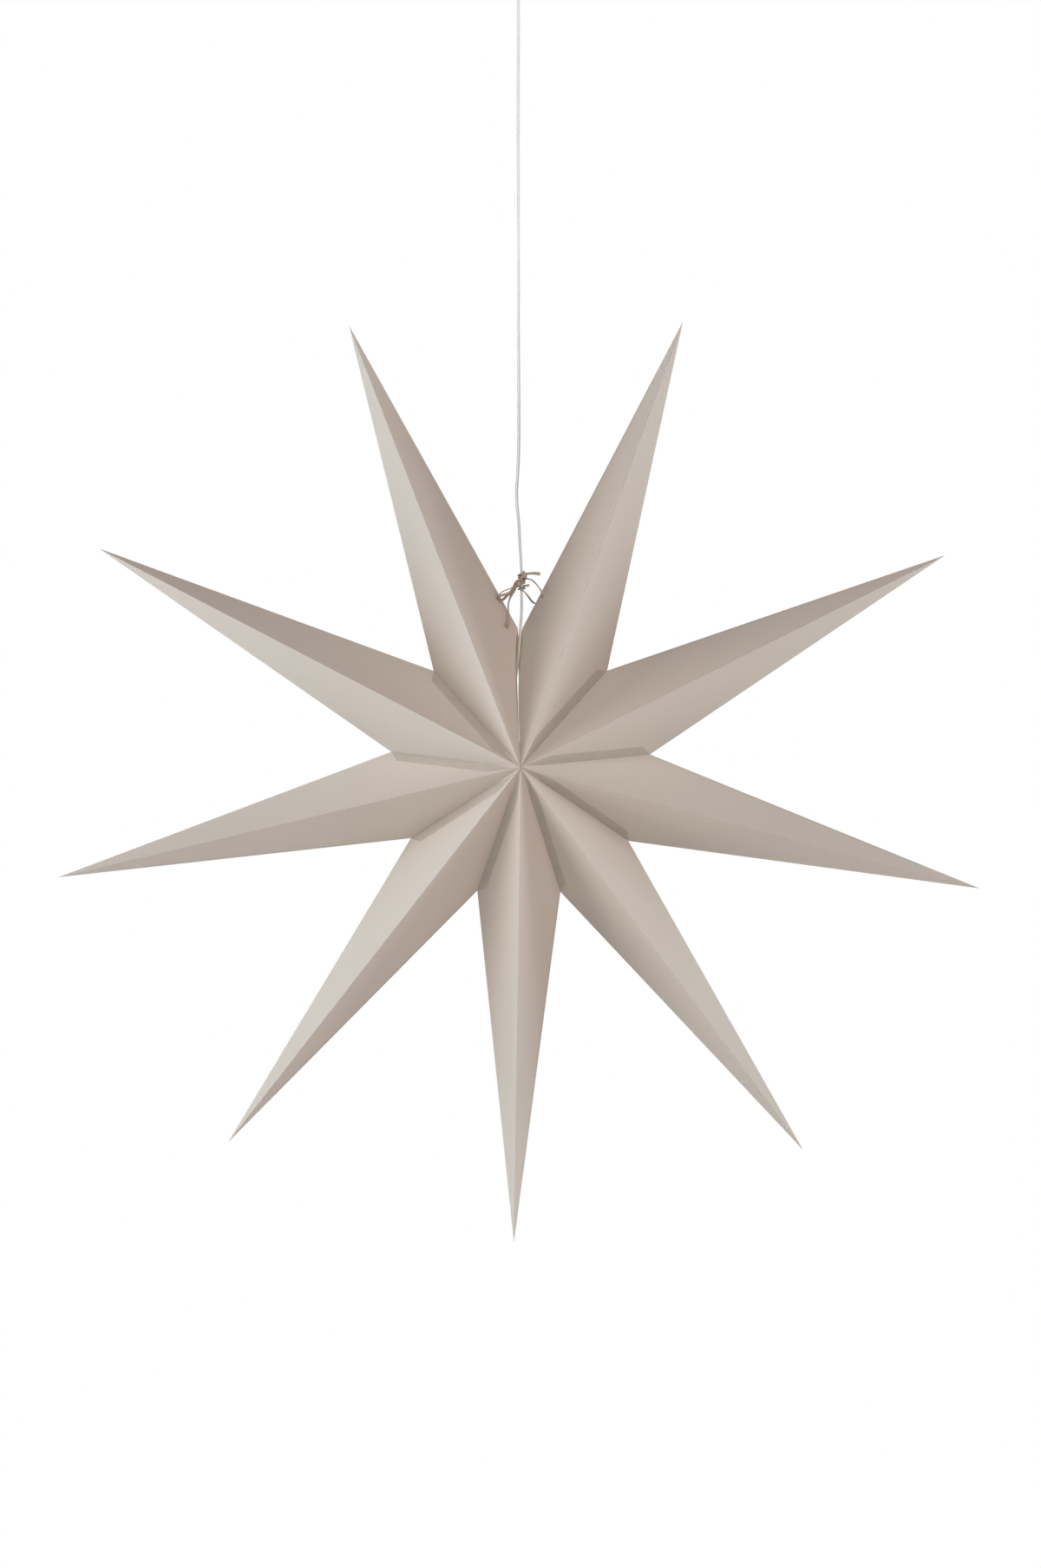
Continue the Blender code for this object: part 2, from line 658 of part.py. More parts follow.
def build_plate(ceiling, steel):
    """The round plate screwed to the ceiling, with two slots and a tab bent down for the terminal block."""
    plate = turned(
        "mounting_plate",
        [(0, 0), (0, -PLATE_THICKNESS), (PLATE_RADIUS, -PLATE_THICKNESS), (PLATE_RADIUS, 0)],
        steel, ceiling,
    )
    front = BLOCK_DEPTH / 2 + FIT_GAP
    tab = cutter(
        "plate_tab",
        box_shape(
            (-TAB_WIDTH / 2, front, -PLATE_THICKNESS - BLOCK_HANG - BLOCK_HEIGHT),
            (TAB_WIDTH / 2, front + TAB_THICKNESS, -PLATE_THICKNESS / 2),
        ),
        ceiling,
    )
    cut(plate, tab, "UNION")
    low, high = -PLATE_THICKNESS - CUT_OVERRUN, CUT_OVERRUN
    reach = PLATE_SLOT_LENGTH / 2 - PLATE_SLOT_RADIUS
    for side, name in ((-1, "left"), (1, "right")):
        middle = side * PLATE_SLOT_CENTRE
        straight = box_shape(
            (middle - reach, -PLATE_SLOT_RADIUS, low), (middle + reach, PLATE_SLOT_RADIUS, high)
        )
        cut(plate, cutter(f"plate_slot_{name}", straight, ceiling))
        for x, end in ((middle - reach, "a"), (middle + reach, "b")):
            round_end = rod_shape(PLATE_SLOT_RADIUS, (x, 0, low), (x, 0, high), SMALL_STEPS)
            cut(plate, cutter(f"plate_slot_{name}_{end}", round_end, ceiling))


def build_terminal_block(ceiling, plastic):
    top = -PLATE_THICKNESS - BLOCK_HANG
    shape = box_shape(
        (-BLOCK_WIDTH / 2, -BLOCK_DEPTH / 2, top - BLOCK_HEIGHT),
        (BLOCK_WIDTH / 2, BLOCK_DEPTH / 2, top),
    )
    block = mesh_object("terminal_block", shape, plastic, ceiling, smooth=False)
    for side, name in ((-1, "left"), (1, "right")):
        x = side * BLOCK_HOLE_SPACING / 2
        low, high = top - BLOCK_HEIGHT - CUT_OVERRUN, top + CUT_OVERRUN
        hole = rod_shape(BLOCK_HOLE_RADIUS, (x, 0, low), (x, 0, high), SMALL_STEPS)
        cut(block, cutter(f"wire_hole_{name}", hole, ceiling))


def build_canopy(ceiling, white_metal, plastic, steel):
    """The ceiling cup with the grip that holds it on the cord, its nut and its screw."""
    centre = (CUP_RADIUS - CUP_CORNER, CUP_CORNER - CUP_HEIGHT)
    stem_hole = GRIP_STEM_RADIUS + FIT_GAP
    outline = [(CUP_RADIUS, -FIT_GAP)]
    outline += arc(centre, CUP_CORNER, 0, -90, CORNER_STEPS)
    outline += [(stem_hole, -CUP_HEIGHT), (stem_hole, CUP_WALL - CUP_HEIGHT)]
    outline += arc(centre, CUP_CORNER - CUP_WALL, -90, 0, CORNER_STEPS)
    outline += [(CUP_RADIUS - CUP_WALL, -FIT_GAP)]
    turned("canopy_cup", outline, white_metal, ceiling, steps=CUP_STEPS)

    bore = CORD_DIAMETER / 2 + FIT_GAP
    flange_top = -CUP_HEIGHT - FIT_GAP
    flange_bottom = flange_top - GRIP_FLANGE_HEIGHT
    grip = turned(
        "cord_grip",
        [
            (bore, GRIP_STEM_RISE - CUP_HEIGHT), (bore, flange_bottom),
            (GRIP_FLANGE_RADIUS - GRIP_TAPER, flange_bottom),
            (GRIP_FLANGE_RADIUS, flange_bottom + GRIP_TAPER),
            (GRIP_FLANGE_RADIUS, flange_top), (GRIP_STEM_RADIUS, flange_top),
            (GRIP_STEM_RADIUS, GRIP_STEM_RISE - CUP_HEIGHT),
        ],
        plastic, ceiling,
    )
    middle = (flange_top + flange_bottom) / 2
    hole = rod_shape(
        GRIP_SCREW_RADIUS + FIT_GAP, (bore / 2, 0, middle),
        (GRIP_FLANGE_RADIUS + CUT_OVERRUN, 0, middle), SMALL_STEPS,
    )
    cut(grip, cutter("grip_screw_hole", hole, ceiling))

    nut_bottom = CUP_WALL - CUP_HEIGHT + FIT_GAP
    nut_top = nut_bottom + NUT_HEIGHT
    nut_shape = rod_shape(NUT_RADIUS, (0, 0, nut_bottom), (0, 0, nut_top), NUT_SIDES)
    nut = mesh_object("grip_nut", nut_shape, steel, ceiling, smooth=False)
    nut_hole = rod_shape(
        stem_hole, (0, 0, nut_bottom - CUT_OVERRUN), (0, 0, nut_top + CUT_OVERRUN), ROUND_STEPS
    )
    cut(nut, cutter("grip_nut_hole", nut_hole, ceiling))
    head = GRIP_FLANGE_RADIUS + FIT_GAP
    screw = turned(
        "grip_screw",
        [
            (0, bore), (GRIP_SCREW_RADIUS, bore), (GRIP_SCREW_RADIUS, head), (GRIP_SCREW_HEAD_RADIUS, head),
            (GRIP_SCREW_HEAD_RADIUS, head + GRIP_SCREW_HEAD_HEIGHT), (0, head + GRIP_SCREW_HEAD_HEIGHT),
        ],
        steel, ceiling, steps=SMALL_STEPS,
    )
    screw.location = (0, 0, middle)
    screw.rotation_euler = (0, math.radians(90), 0)
    slot = SCREW_SLOT_WIDTH / 2
    slot_low = head + GRIP_SCREW_HEAD_HEIGHT / 2
    slot_high = head + GRIP_SCREW_HEAD_HEIGHT + CUT_OVERRUN
    reach = GRIP_SCREW_HEAD_RADIUS + CUT_OVERRUN
    slot_shape = box_shape((-reach, -slot, slot_low), (reach, slot, slot_high))
    cut(screw, cutter("grip_screw_slot", slot_shape, screw))


def build_holder_cap(lamp, plastic):
    """The domed cap of the lamp holder, with its neck round the cord clamp."""
    inner_neck = CORD_DIAMETER / 2 + 2 * FIT_GAP + CLAMP_WALL
    outer = [(HOLDER_NECK_RADIUS, 0)]
    inner = [(inner_neck, 0)]
    inner_radius = HOLDER_RADIUS - HOLDER_WALL
    for i in range(DOME_STEPS + 1):
        t = math.radians(90) * i / DOME_STEPS
        bulge, drop = math.sin(t), 1 - math.cos(t)
        outer.append((
            HOLDER_NECK_RADIUS + (HOLDER_RADIUS - HOLDER_NECK_RADIUS) * bulge,
            -HOLDER_NECK_HEIGHT - HOLDER_DOME_HEIGHT * drop,
        ))
        inner.append((
            inner_neck + (inner_radius - inner_neck) * bulge,
            -HOLDER_NECK_HEIGHT - HOLDER_WALL - (HOLDER_DOME_HEIGHT - HOLDER_WALL) * drop,
        ))
    outer.append((HOLDER_RADIUS, -CAP_HEIGHT))
    inner.append((inner_radius, -CAP_HEIGHT))
    turned("holder_cap", outer + inner[::-1], plastic, lamp)


def build_cord_clamp(lamp, plastic):
    bore = CORD_DIAMETER / 2 + FIT_GAP
    wall = bore + CLAMP_WALL
    turned(
        "cord_clamp",
        [
            (bore, CLAMP_COLLAR + FIT_GAP), (bore, -CLAMP_DEPTH), (wall, -CLAMP_DEPTH), (wall, FIT_GAP),
            (HOLDER_NECK_RADIUS, FIT_GAP), (HOLDER_NECK_RADIUS - CLAMP_COLLAR / 2, CLAMP_COLLAR + FIT_GAP),
        ],
        plastic, lamp, steps=SMALL_STEPS,
    )


def build_holder_body(lamp, plastic):
    """The sleeve of the holder: wide above for the contact block, narrow below round the socket."""
    top = -CAP_HEIGHT - FIT_GAP
    ledge = top - CONTACT_BLOCK_HEIGHT - 2 * FIT_GAP
    sleeve = SOCKET_RADIUS + FIT_GAP
    turned(
        "holder_body",
        [
            (HOLDER_RADIUS, top), (HOLDER_RADIUS - BODY_TAPER, top - BODY_LENGTH),
            (sleeve, top - BODY_LENGTH), (sleeve, ledge),
            (HOLDER_RADIUS - HOLDER_WALL, ledge), (HOLDER_RADIUS - HOLDER_WALL, top),
        ],
        plastic, lamp,
    )


def build_contacts(lamp, insulation, brass, steel):
    """The insulating block with two posts, the threaded socket, the centre contact and two screws."""
    top = -CAP_HEIGHT - 2 * FIT_GAP
    bottom = top - CONTACT_BLOCK_HEIGHT
    radius = HOLDER_RADIUS - HOLDER_WALL - FIT_GAP
    outline = [(0, top), (0, bottom), (radius, bottom), (radius, top)]
    block = turned("contact_block", outline, insulation, lamp)
    for side, name in ((-1, "left"), (1, "right")):
        x = side * POST_SPACING / 2
        post = rod_shape(POST_RADIUS, (x, 0, (top + bottom) / 2), (x, 0, top + POST_HEIGHT), SMALL_STEPS)
        cut(block, cutter(f"post_{name}", post, lamp), "UNION")
        post_top = top + POST_HEIGHT
        foot = post_top - TERMINAL_SCREW_DEPTH
        hole = rod_shape(
            TERMINAL_SCREW_RADIUS + FIT_GAP, (x, 0, foot - FIT_GAP),
            (x, 0, post_top + CUT_OVERRUN), SMALL_STEPS,
        )
        cut(block, cutter(f"post_hole_{name}", hole, lamp))
        head = post_top + FIT_GAP
        head_top = head + TERMINAL_HEAD_HEIGHT
        screw = turned(
            f"terminal_screw_{name}",
            [
                (0, foot), (TERMINAL_SCREW_RADIUS, foot), (TERMINAL_SCREW_RADIUS, head),
                (TERMINAL_HEAD_RADIUS, head), (TERMINAL_HEAD_RADIUS, head_top), (0, head_top),
            ],
            steel, lamp, steps=SMALL_STEPS,
        )
        screw.location = (x, 0, 0)
        reach, half = TERMINAL_HEAD_RADIUS + CUT_OVERRUN, SCREW_SLOT_WIDTH / 2
        slot = box_shape(
            (-reach, -half, head + TERMINAL_HEAD_HEIGHT / 2), (reach, half, head_top + CUT_OVERRUN)
        )
        cut(screw, cutter(f"terminal_slot_{name}", slot, screw))
    start = bottom - FIT_GAP
    turned(
        "socket_shell",
        [
            (SOCKET_RADIUS, start), (SOCKET_RADIUS, start - SOCKET_LENGTH),
            (SOCKET_RADIUS - SOCKET_WALL, start - SOCKET_LENGTH), (SOCKET_RADIUS - SOCKET_WALL, start),
        ],
        brass, lamp,
    )
    end = start - CONTACT_HEIGHT
    turned(
        "centre_contact",
        [(0, start), (0, end), (CONTACT_RADIUS, end), (CONTACT_RADIUS, start)],
        brass, lamp, steps=SMALL_STEPS,
    )
    return end - FIT_GAP


def build_bulb(lamp, top, brass, black, glass, glow):
    """The screw base with its rolled thread, the insulator and tip above it, and the glass."""
    tip_bottom = top - TIP_CONTACT_HEIGHT
    turned(
        "bulb_tip",
        [(0, top), (0, tip_bottom), (TIP_CONTACT_RADIUS, tip_bottom), (TIP_CONTACT_RADIUS / 2, top)],
        brass, lamp, steps=SMALL_STEPS,
    )
    insulator_top = tip_bottom - FIT_GAP
    insulator_bottom = insulator_top - INSULATOR_HEIGHT
    root = THREAD_CREST - THREAD_DEPTH
    turned(
        "bulb_insulator",
        [
            (0, insulator_top), (0, insulator_bottom),
            (root, insulator_bottom), (TIP_CONTACT_RADIUS, insulator_top),
        ],
        black, lamp,
    )
    base_top = insulator_bottom - FIT_GAP
    outer = []
    for i in range(2 * THREAD_TURNS + 1):
        outer.append((root if i % 2 == 0 else THREAD_CREST, base_top - THREAD_PITCH * i / 2))
    base_bottom = base_top - THREAD_PITCH * THREAD_TURNS - BASE_COLLAR
    outer.append((root, base_bottom))
    bore = root - BASE_WALL
    turned("bulb_base", [*outer, (bore, base_bottom), (bore, base_top)], brass, lamp)

    neck = bore - FIT_GAP
    centre = (0, base_bottom - GLASS_LENGTH + GLASS_RADIUS)
    rim = base_bottom + GLASS_NECK_DEPTH
    inner_radius = GLASS_RADIUS - GLASS_WALL
    outline = [(neck, rim), (neck, base_bottom - FIT_GAP)]
    outline += arc(centre, GLASS_RADIUS, GLASS_SHOULDER_ANGLE, -90, GLASS_STEPS)[:-1]
    outline += [(0, centre[1] - GLASS_RADIUS), (0, centre[1] - inner_radius)]
    outline += arc(centre, inner_radius, -90, GLASS_SHOULDER_ANGLE, GLASS_STEPS)[1:]
    outline += [(neck - GLASS_WALL, base_bottom - FIT_GAP), (neck - GLASS_WALL, rim)]
    turned("bulb_glass", outline, glass, lamp)

    foot_top = rim - STEM_FOOT
    foot = neck - GLASS_WALL - FIT_GAP
    turned(
        "bulb_stem",
        [
            (0, foot_top), (0, foot_top - STEM_LENGTH), (STEM_TOP_RADIUS, foot_top - STEM_LENGTH),
            (STEM_RADIUS, foot_top - 2 * STEM_FOOT), (foot, foot_top - STEM_FOOT), (foot, foot_top),
        ],
        glass, lamp, steps=SMALL_STEPS,
    )
    build_filament(lamp, foot_top - STEM_LENGTH, glow)


def build_filament(lamp, stem_end, glow):
    """One filament that runs up and down round the stem, with both its ends against it."""
    low, high = stem_end, stem_end + FILAMENT_LENGTH
    seat = STEM_RADIUS + FIT_GAP + FILAMENT_DIAMETER / 2
    route = [(seat, 0, high)]
    for run in range(FILAMENT_RUNS):
        angle = math.tau * run / FILAMENT_RUNS
        x, y = FILAMENT_RADIUS * math.cos(angle), FILAMENT_RADIUS * math.sin(angle)
        ends = (high, low) if run % 2 == 0 else (low, high)
        for height in (ends[0], (ends[0] + ends[1]) / 2, ends[1]):
            route.append((x, y, min(max(height, low + FILAMENT_BEND), high - FILAMENT_BEND)))
    route.append((0, -seat, high))
    cord("bulb_filament", route, FILAMENT_DIAMETER, FILAMENT_SPACING, glow, lamp)


def main():
    clear_scene()
    paper = material("paper", (0.60, 0.53, 0.46), 0.85)
    cord_white = material("cord_white", (0.75, 0.75, 0.74), 0.35)
    string_brown = material("string_brown", (0.30, 0.22, 0.16), 0.8)
    white_plastic = material("white_plastic", (0.80, 0.80, 0.78), 0.4)
    white_metal = material("white_metal", (0.80, 0.80, 0.78), 0.35)
    steel = material("steel", (0.55, 0.55, 0.56), 0.35, metallic=1.0)
    brass = material("brass", (0.75, 0.58, 0.30), 0.3, metallic=1.0)
    insulation = material("insulation", (0.70, 0.66, 0.58), 0.6)
    black_glass = material("black_glass", (0.02, 0.02, 0.02), 0.2)
    clear_glass = material("clear_glass", (0.95, 0.95, 0.95), 0.05, transmission=1.0)
    filament = material("filament", (0.85, 0.65, 0.25), 0.5)

    ceiling = empty_at("ceiling", (0, 0, 0))
    grip_bottom = -CUP_HEIGHT - FIT_GAP - GRIP_FLANGE_HEIGHT
    swing = empty_at("cord_leaves_grip", (0, 0, grip_bottom), ceiling)
    knot = empty_at("knot", (CORD_LEAN + KNOT_CENTRE, 0, KNOT_HEIGHT - STAR_DROP - grip_bottom), swing)
    star = empty_at("star_centre", (-KNOT_CENTRE, 0, -KNOT_HEIGHT), knot)
    hanging = empty_at("cord_from_star", (CORD_LEAN, 0, -STAR_DROP - grip_bottom), swing)
    lamp = empty_at("lamp_top", (LAMP_LEAN, 0, LAMP_TOP), hanging)

    build_points(star, paper)
    build_cords(star, hanging, cord_white, string_brown)
    build_plate(ceiling, steel)
    build_terminal_block(ceiling, insulation)
    build_canopy(ceiling, white_metal, white_plastic, steel)
    build_holder_cap(lamp, white_plastic)
    build_cord_clamp(lamp, white_plastic)
    build_holder_body(lamp, white_plastic)
    tip_top = build_contacts(lamp, insulation, brass, steel)
    build_bulb(lamp, tip_top, brass, black_glass, clear_glass, filament)


main()
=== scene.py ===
"""The folded paper star lantern of the photograph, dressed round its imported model."""
import json
import math

import bmesh
import bpy
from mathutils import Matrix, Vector
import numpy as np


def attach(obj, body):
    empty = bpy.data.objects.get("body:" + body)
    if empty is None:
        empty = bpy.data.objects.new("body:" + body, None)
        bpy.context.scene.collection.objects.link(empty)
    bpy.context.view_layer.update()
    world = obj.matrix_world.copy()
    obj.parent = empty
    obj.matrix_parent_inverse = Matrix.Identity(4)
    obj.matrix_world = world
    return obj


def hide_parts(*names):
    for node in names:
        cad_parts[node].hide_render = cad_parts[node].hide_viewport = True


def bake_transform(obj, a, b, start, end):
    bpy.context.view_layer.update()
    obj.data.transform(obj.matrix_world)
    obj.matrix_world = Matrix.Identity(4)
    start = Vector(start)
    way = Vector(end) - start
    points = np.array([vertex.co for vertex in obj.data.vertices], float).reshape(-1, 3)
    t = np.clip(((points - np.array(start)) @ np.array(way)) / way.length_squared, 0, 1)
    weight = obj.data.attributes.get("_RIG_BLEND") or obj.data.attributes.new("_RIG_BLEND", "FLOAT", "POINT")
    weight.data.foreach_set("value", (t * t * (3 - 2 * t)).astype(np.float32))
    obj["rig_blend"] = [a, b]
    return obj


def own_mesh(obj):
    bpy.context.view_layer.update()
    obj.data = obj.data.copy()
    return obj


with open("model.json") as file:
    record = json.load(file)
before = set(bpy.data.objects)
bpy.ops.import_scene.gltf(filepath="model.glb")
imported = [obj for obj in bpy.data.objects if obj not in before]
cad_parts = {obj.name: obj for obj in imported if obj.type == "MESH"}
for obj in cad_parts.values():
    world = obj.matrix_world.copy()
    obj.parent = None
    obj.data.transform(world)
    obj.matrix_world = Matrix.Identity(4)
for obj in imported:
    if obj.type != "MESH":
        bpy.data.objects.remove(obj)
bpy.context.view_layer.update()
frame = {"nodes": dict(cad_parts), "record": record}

# The star, in metres, with its tips counterclockwise from the slit, in degrees
STAR_CENTRE = Vector((0.0022, 0.0, -0.900))
TIP_RADIUS = 0.500
NOTCH_RADIUS = 0.137
HALF_DEPTH = 0.125
TIP_ANGLES = (111.2, 152.5, 193.3, 232.0, 269.2, 306.5, 345.3, 386.6, 430.0)
LAST_POINT = len(TIP_ANGLES) - 1
FRONT, BACK = -1, 1

# The slit between the last and the first point, and how its raw edges lie in front and behind
SLIT_NOTCH_RADIUS = 0.147
SLIT_FIRST_ANGLE = 91.1
SLIT_LAST_ANGLE = 449.2
SLIT_SPREAD = 0.06
SLIT_FRONT_SHIFT = 0.0009
SLIT_BACK_MIDDLE = -0.0016
SLIT_BACK_GAP = 0.0006
SLIT_BACK_HEIGHT = 0.110
SLIT_BACK_LOW_SHARE = 0.35
SLIT_CUTS = 6
SLIT_CURVE_SPACING = 0.002

# The glue flap behind each valley, and the seam strip that closes each sheet, with how dark the painted shade
# over each of them is
FLAP_WIDTH = 0.014
FLAP_TAPER = 0.034
FLAP_SETBACK = 0.020
FLAP_SHADE = 1.0
SEAM_WIDTH = 0.0045
SEAM_SETBACK = 0.005
SEAM_END_SHARE = 0.82
SEAM_SHADES = (0.0, 0.0, 0.35, 0.35, 0.35, 0.0, 0.35, 0.35, 0.35)

# The folds of the card, and how dark they are made on each point
FOLD_ANGLE = 15
FOLD_ROUNDING = 0.00022
FOLD_TONES = (0.1, 0.1, 0.15, 0.1, 0.1, 1.0, 0.1, 0.6, 1.0)

# The flat two-core flex that the star hangs on
CORD_WIDTH = 0.0036
CORD_SPACING = 0.006
CORE_RADIUS = 0.00125
CORE_ARC = 210
CORE_CORNERS = 9
FLEX_TWIST = 40
FLEX_TWIST_RATE = 9.0

# The paper strings, their windings round the cord and their knots, from the star's centre
STRING_WIDTH = 0.0021
STRING_THICKNESS = 0.0011
STRING_SPACING = 0.0011
RIBBON_CORNERS = 12
RIBBON_CREASE = 0.55
RIBBON_TWIST = 70
RIBBON_TWIST_RATE = 0.11
TAIL_SWELL = 0.6
TAIL_STEPS = 14
KNOT_CENTRE = 0.0011
WRAP_RADIUS = 0.0033
WRAP_PITCH = 0.0024
WRAP_TURNS = 1.5
WRAP_START = 90
WRAP_STEPS = 8
RIGHT_UPPER_WRAP = 0.2035
RIGHT_LOWER_WRAP = 0.1875
LEFT_WRAP = 0.1940
UPPER_KNOT = (0.0036, -0.0048, 0.2022)
UPPER_KNOT_RADIUS = 0.0037
LOWER_KNOT = (-0.0020, -0.0052, 0.1925)
LOWER_KNOT_RADIUS = 0.0030

# How the soft pieces follow the joints: the cord's bend at the grip
SWING_HEIGHT = -0.0663
BEND_REACH = 0.008

# Distances within which corners are one, in metres, and angles between faces, in degrees
SAME_PLACE = 0.00002
SAME_FINE_PLACE = 0.000005
FLAT_SHEET = 0.3
FLAT_SURFACE = 0.5
SHARP_CORNER = 32
SHARP_ON_CORD = 50


def direction(degrees):
    """The unit vector in the star's plane at an angle from its right."""
    angle = math.radians(degrees)
    return Vector((math.cos(angle), 0, math.sin(angle)))


def placed(name, data):
    """A new object of the scene with its data."""
    made = bpy.data.objects.new(name, data)
    bpy.context.scene.collection.objects.link(made)
    return made


def shape_of(data, same_place, flat=None):
    """A mesh as a shape, with its loose corners joined and its flat faces made one."""
    shape = bmesh.new()
    shape.from_mesh(data)
    bmesh.ops.remove_doubles(shape, verts=shape.verts, dist=same_place)
    if flat is not None:
        bmesh.ops.dissolve_limit(shape, angle_limit=math.radians(flat), verts=shape.verts, edges=shape.edges)
    return shape


def eased(shape, edges, width):
    """Rounds edges of a shape and returns the new faces."""
    return bmesh.ops.bevel(
        shape, geom=edges, affect="EDGES", offset=width, offset_type="OFFSET", segments=2, profile=0.5,
        material=-1, clamp_overlap=True,
    )["faces"]


def settle(shape, data, *materials):
    """Writes a finished shape into its mesh, which gets the materials given."""
    data.materials.clear()
    for material in materials:
        data.materials.append(material)
    shape.to_mesh(data)
    shape.free()


def smooth_but_for(data, degrees):
    """Shades a mesh smooth, apart from edges sharper than an angle."""
    data.shade_smooth()
    data.set_sharp_from_angle(angle=math.radians(degrees))


# Camera: places in metres, the sensor in millimetres and the photograph's height in pixels
CAMERA_DISTANCE = 3.4
CAMERA_HEIGHT = -0.9169
CAMERA_REACH = 100.0
SENSOR_WIDTH = 36.0
PHOTO_HEIGHT = 1807
MILLIMETRES_PER_PIXEL = 0.9124
FRAME_HEIGHT = PHOTO_HEIGHT * MILLIMETRES_PER_PIXEL / 1000


def place_camera():
    """The camera level and straight in front, as in the photograph."""
    data = bpy.data.cameras.new("camera")
    data.sensor_fit = "AUTO"
    data.sensor_width = SENSOR_WIDTH
    data.lens = SENSOR_WIDTH * CAMERA_DISTANCE / FRAME_HEIGHT
    data.clip_end = CAMERA_REACH
    made = placed("camera", data)
    made.location = (STAR_CENTRE.x, -CAMERA_DISTANCE, CAMERA_HEIGHT)
    made.rotation_euler = (math.radians(90), 0, 0)
    bpy.context.scene.camera = made


place_camera()


# Nodes that several finishes share
MOST_NOISE = (0.3, 0.7)
MIDDLE_NOISE = (0.35, 0.65)
WHOLE = (0.0, 1.0)
UNEVEN = (0.85, 1.15)
CLOUD_WEIGHT = 1.2
GRAIN_WEIGHT = 0.8


def feed(tree, plug, value):
    """Gives a socket a number or a colour, or links it to another socket."""
    if isinstance(value, (int, float)):
        plug.default_value = value
    elif isinstance(value, tuple):
        plug.default_value = (*value, 1.0)
    else:
        tree.links.new(value, plug)


def maths(tree, operation, first, second=None):
    """Calculates with one or two inputs, each a number or a socket."""
    node = tree.nodes.new("ShaderNodeMath")
    node.operation = operation
    feed(tree, node.inputs[0], first)
    if second is not None:
        feed(tree, node.inputs[1], second)
    return node.outputs[0]


def colour_mix(tree, factor, first, second, blend="MIX"):
    """Mixes two colours; each input is a value or a socket."""
    node = tree.nodes.new("ShaderNodeMix")
    node.data_type = "RGBA"
    node.blend_type = blend
    plugs = [plug for plug in node.inputs if plug.enabled]
    for plug, value in zip(plugs, (factor, first, second)):
        feed(tree, plug, value)
    return next(plug for plug in node.outputs if plug.enabled)


def ranged(tree, value, given, wanted):
    """Carries a value from one range over to another."""
    node = tree.nodes.new("ShaderNodeMapRange")
    for name, number in zip(("From Min", "From Max", "To Min", "To Max"), (*given, *wanted)):
        node.inputs[name].default_value = number
    tree.links.new(value, node.inputs["Value"])
    return node.outputs["Result"]


def noise(tree, vector, scale, detail=2.0, roughness=0.5):
    """Cloudy values between 0 and 1, scale clouds to the metre."""
    node = tree.nodes.new("ShaderNodeTexNoise")
    node.inputs["Scale"].default_value = scale
    node.inputs["Detail"].default_value = detail
    node.inputs["Roughness"].default_value = roughness
    tree.links.new(vector, node.inputs["Vector"])
    return node.outputs["Fac"]


def object_coordinates(tree):
    """Places on the piece, in metres."""
    return tree.nodes.new("ShaderNodeTexCoord").outputs["Object"]


def attribute(tree, name):
    """A value that the mesh holds for each of its faces."""
    node = tree.nodes.new("ShaderNodeAttribute")
    node.attribute_name = name
    return node.outputs["Fac"]


def tinted(tree, colour, tone):
    """The colour made lighter or darker by a tone round 1."""
    grey = tree.nodes.new("ShaderNodeCombineColor")
    for plug in grey.inputs:
        tree.links.new(tone, plug)
    return colour_mix(tree, 1.0, colour, grey.outputs["Color"], "MULTIPLY")


def bump(tree, shader, height, strength, distance):
    """Relief on a finish from a height; distance is in metres."""
    node = tree.nodes.new("ShaderNodeBump")
    node.inputs["Strength"].default_value = strength
    node.inputs["Distance"].default_value = distance
    tree.links.new(height, node.inputs["Height"])
    tree.links.new(node.outputs["Normal"], shader.inputs["Normal"])


def new_group(name, inputs, outputs):
    """A shader node group with its sockets, and the nodes that it starts and ends with."""
    group = bpy.data.node_groups.new(name, "ShaderNodeTree")
    for label, kind, value in inputs:
        socket = group.interface.new_socket(name=label, in_out="INPUT", socket_type=kind)
        if value is not None:
            socket.default_value = value
    for label, kind in outputs:
        group.interface.new_socket(name=label, in_out="OUTPUT", socket_type=kind)
    return group, group.nodes.new("NodeGroupInput"), group.nodes.new("NodeGroupOutput")


def mottling_group():
    """Fine mottling: a slow cloud and a quick grain, as a value round 1 and a height."""
    group, start, end = new_group(
        "mottling",
        [("Vector", "NodeSocketVector", None), ("Cloud Scale", "NodeSocketFloat", 9.0),
         ("Grain Scale", "NodeSocketFloat", 900.0), ("Depth", "NodeSocketFloat", 0.05)],
        [("Tone", "NodeSocketFloat"), ("Height", "NodeSocketFloat")],
    )
    clouds = []
    for name, detail in (("Cloud Scale", 4.0), ("Grain Scale", 3.0)):
        node = group.nodes.new("ShaderNodeTexNoise")
        node.inputs["Detail"].default_value = detail
        group.links.new(start.outputs["Vector"], node.inputs["Vector"])
        group.links.new(start.outputs[name], node.inputs["Scale"])
        clouds.append(node.outputs["Fac"])
    cloud, grain = clouds
    both = maths(group, "ADD", maths(group, "MULTIPLY", cloud, CLOUD_WEIGHT),
                 maths(group, "MULTIPLY", grain, GRAIN_WEIGHT))
    swing = maths(group, "MULTIPLY", maths(group, "SUBTRACT", both, 1.0), start.outputs["Depth"])
    group.links.new(maths(group, "ADD", swing, 1.0), end.inputs["Tone"])
    group.links.new(grain, end.inputs["Height"])
    return group


MOTTLING = mottling_group()


def mottled(tree, vector, **values):
    """The mottling with a finish's own values."""
    node = tree.nodes.new("ShaderNodeGroup")
    node.node_tree = MOTTLING
    tree.links.new(vector, node.inputs["Vector"])
    for name, value in values.items():
        node.inputs[name.replace("_", " ")].default_value = value
    return node


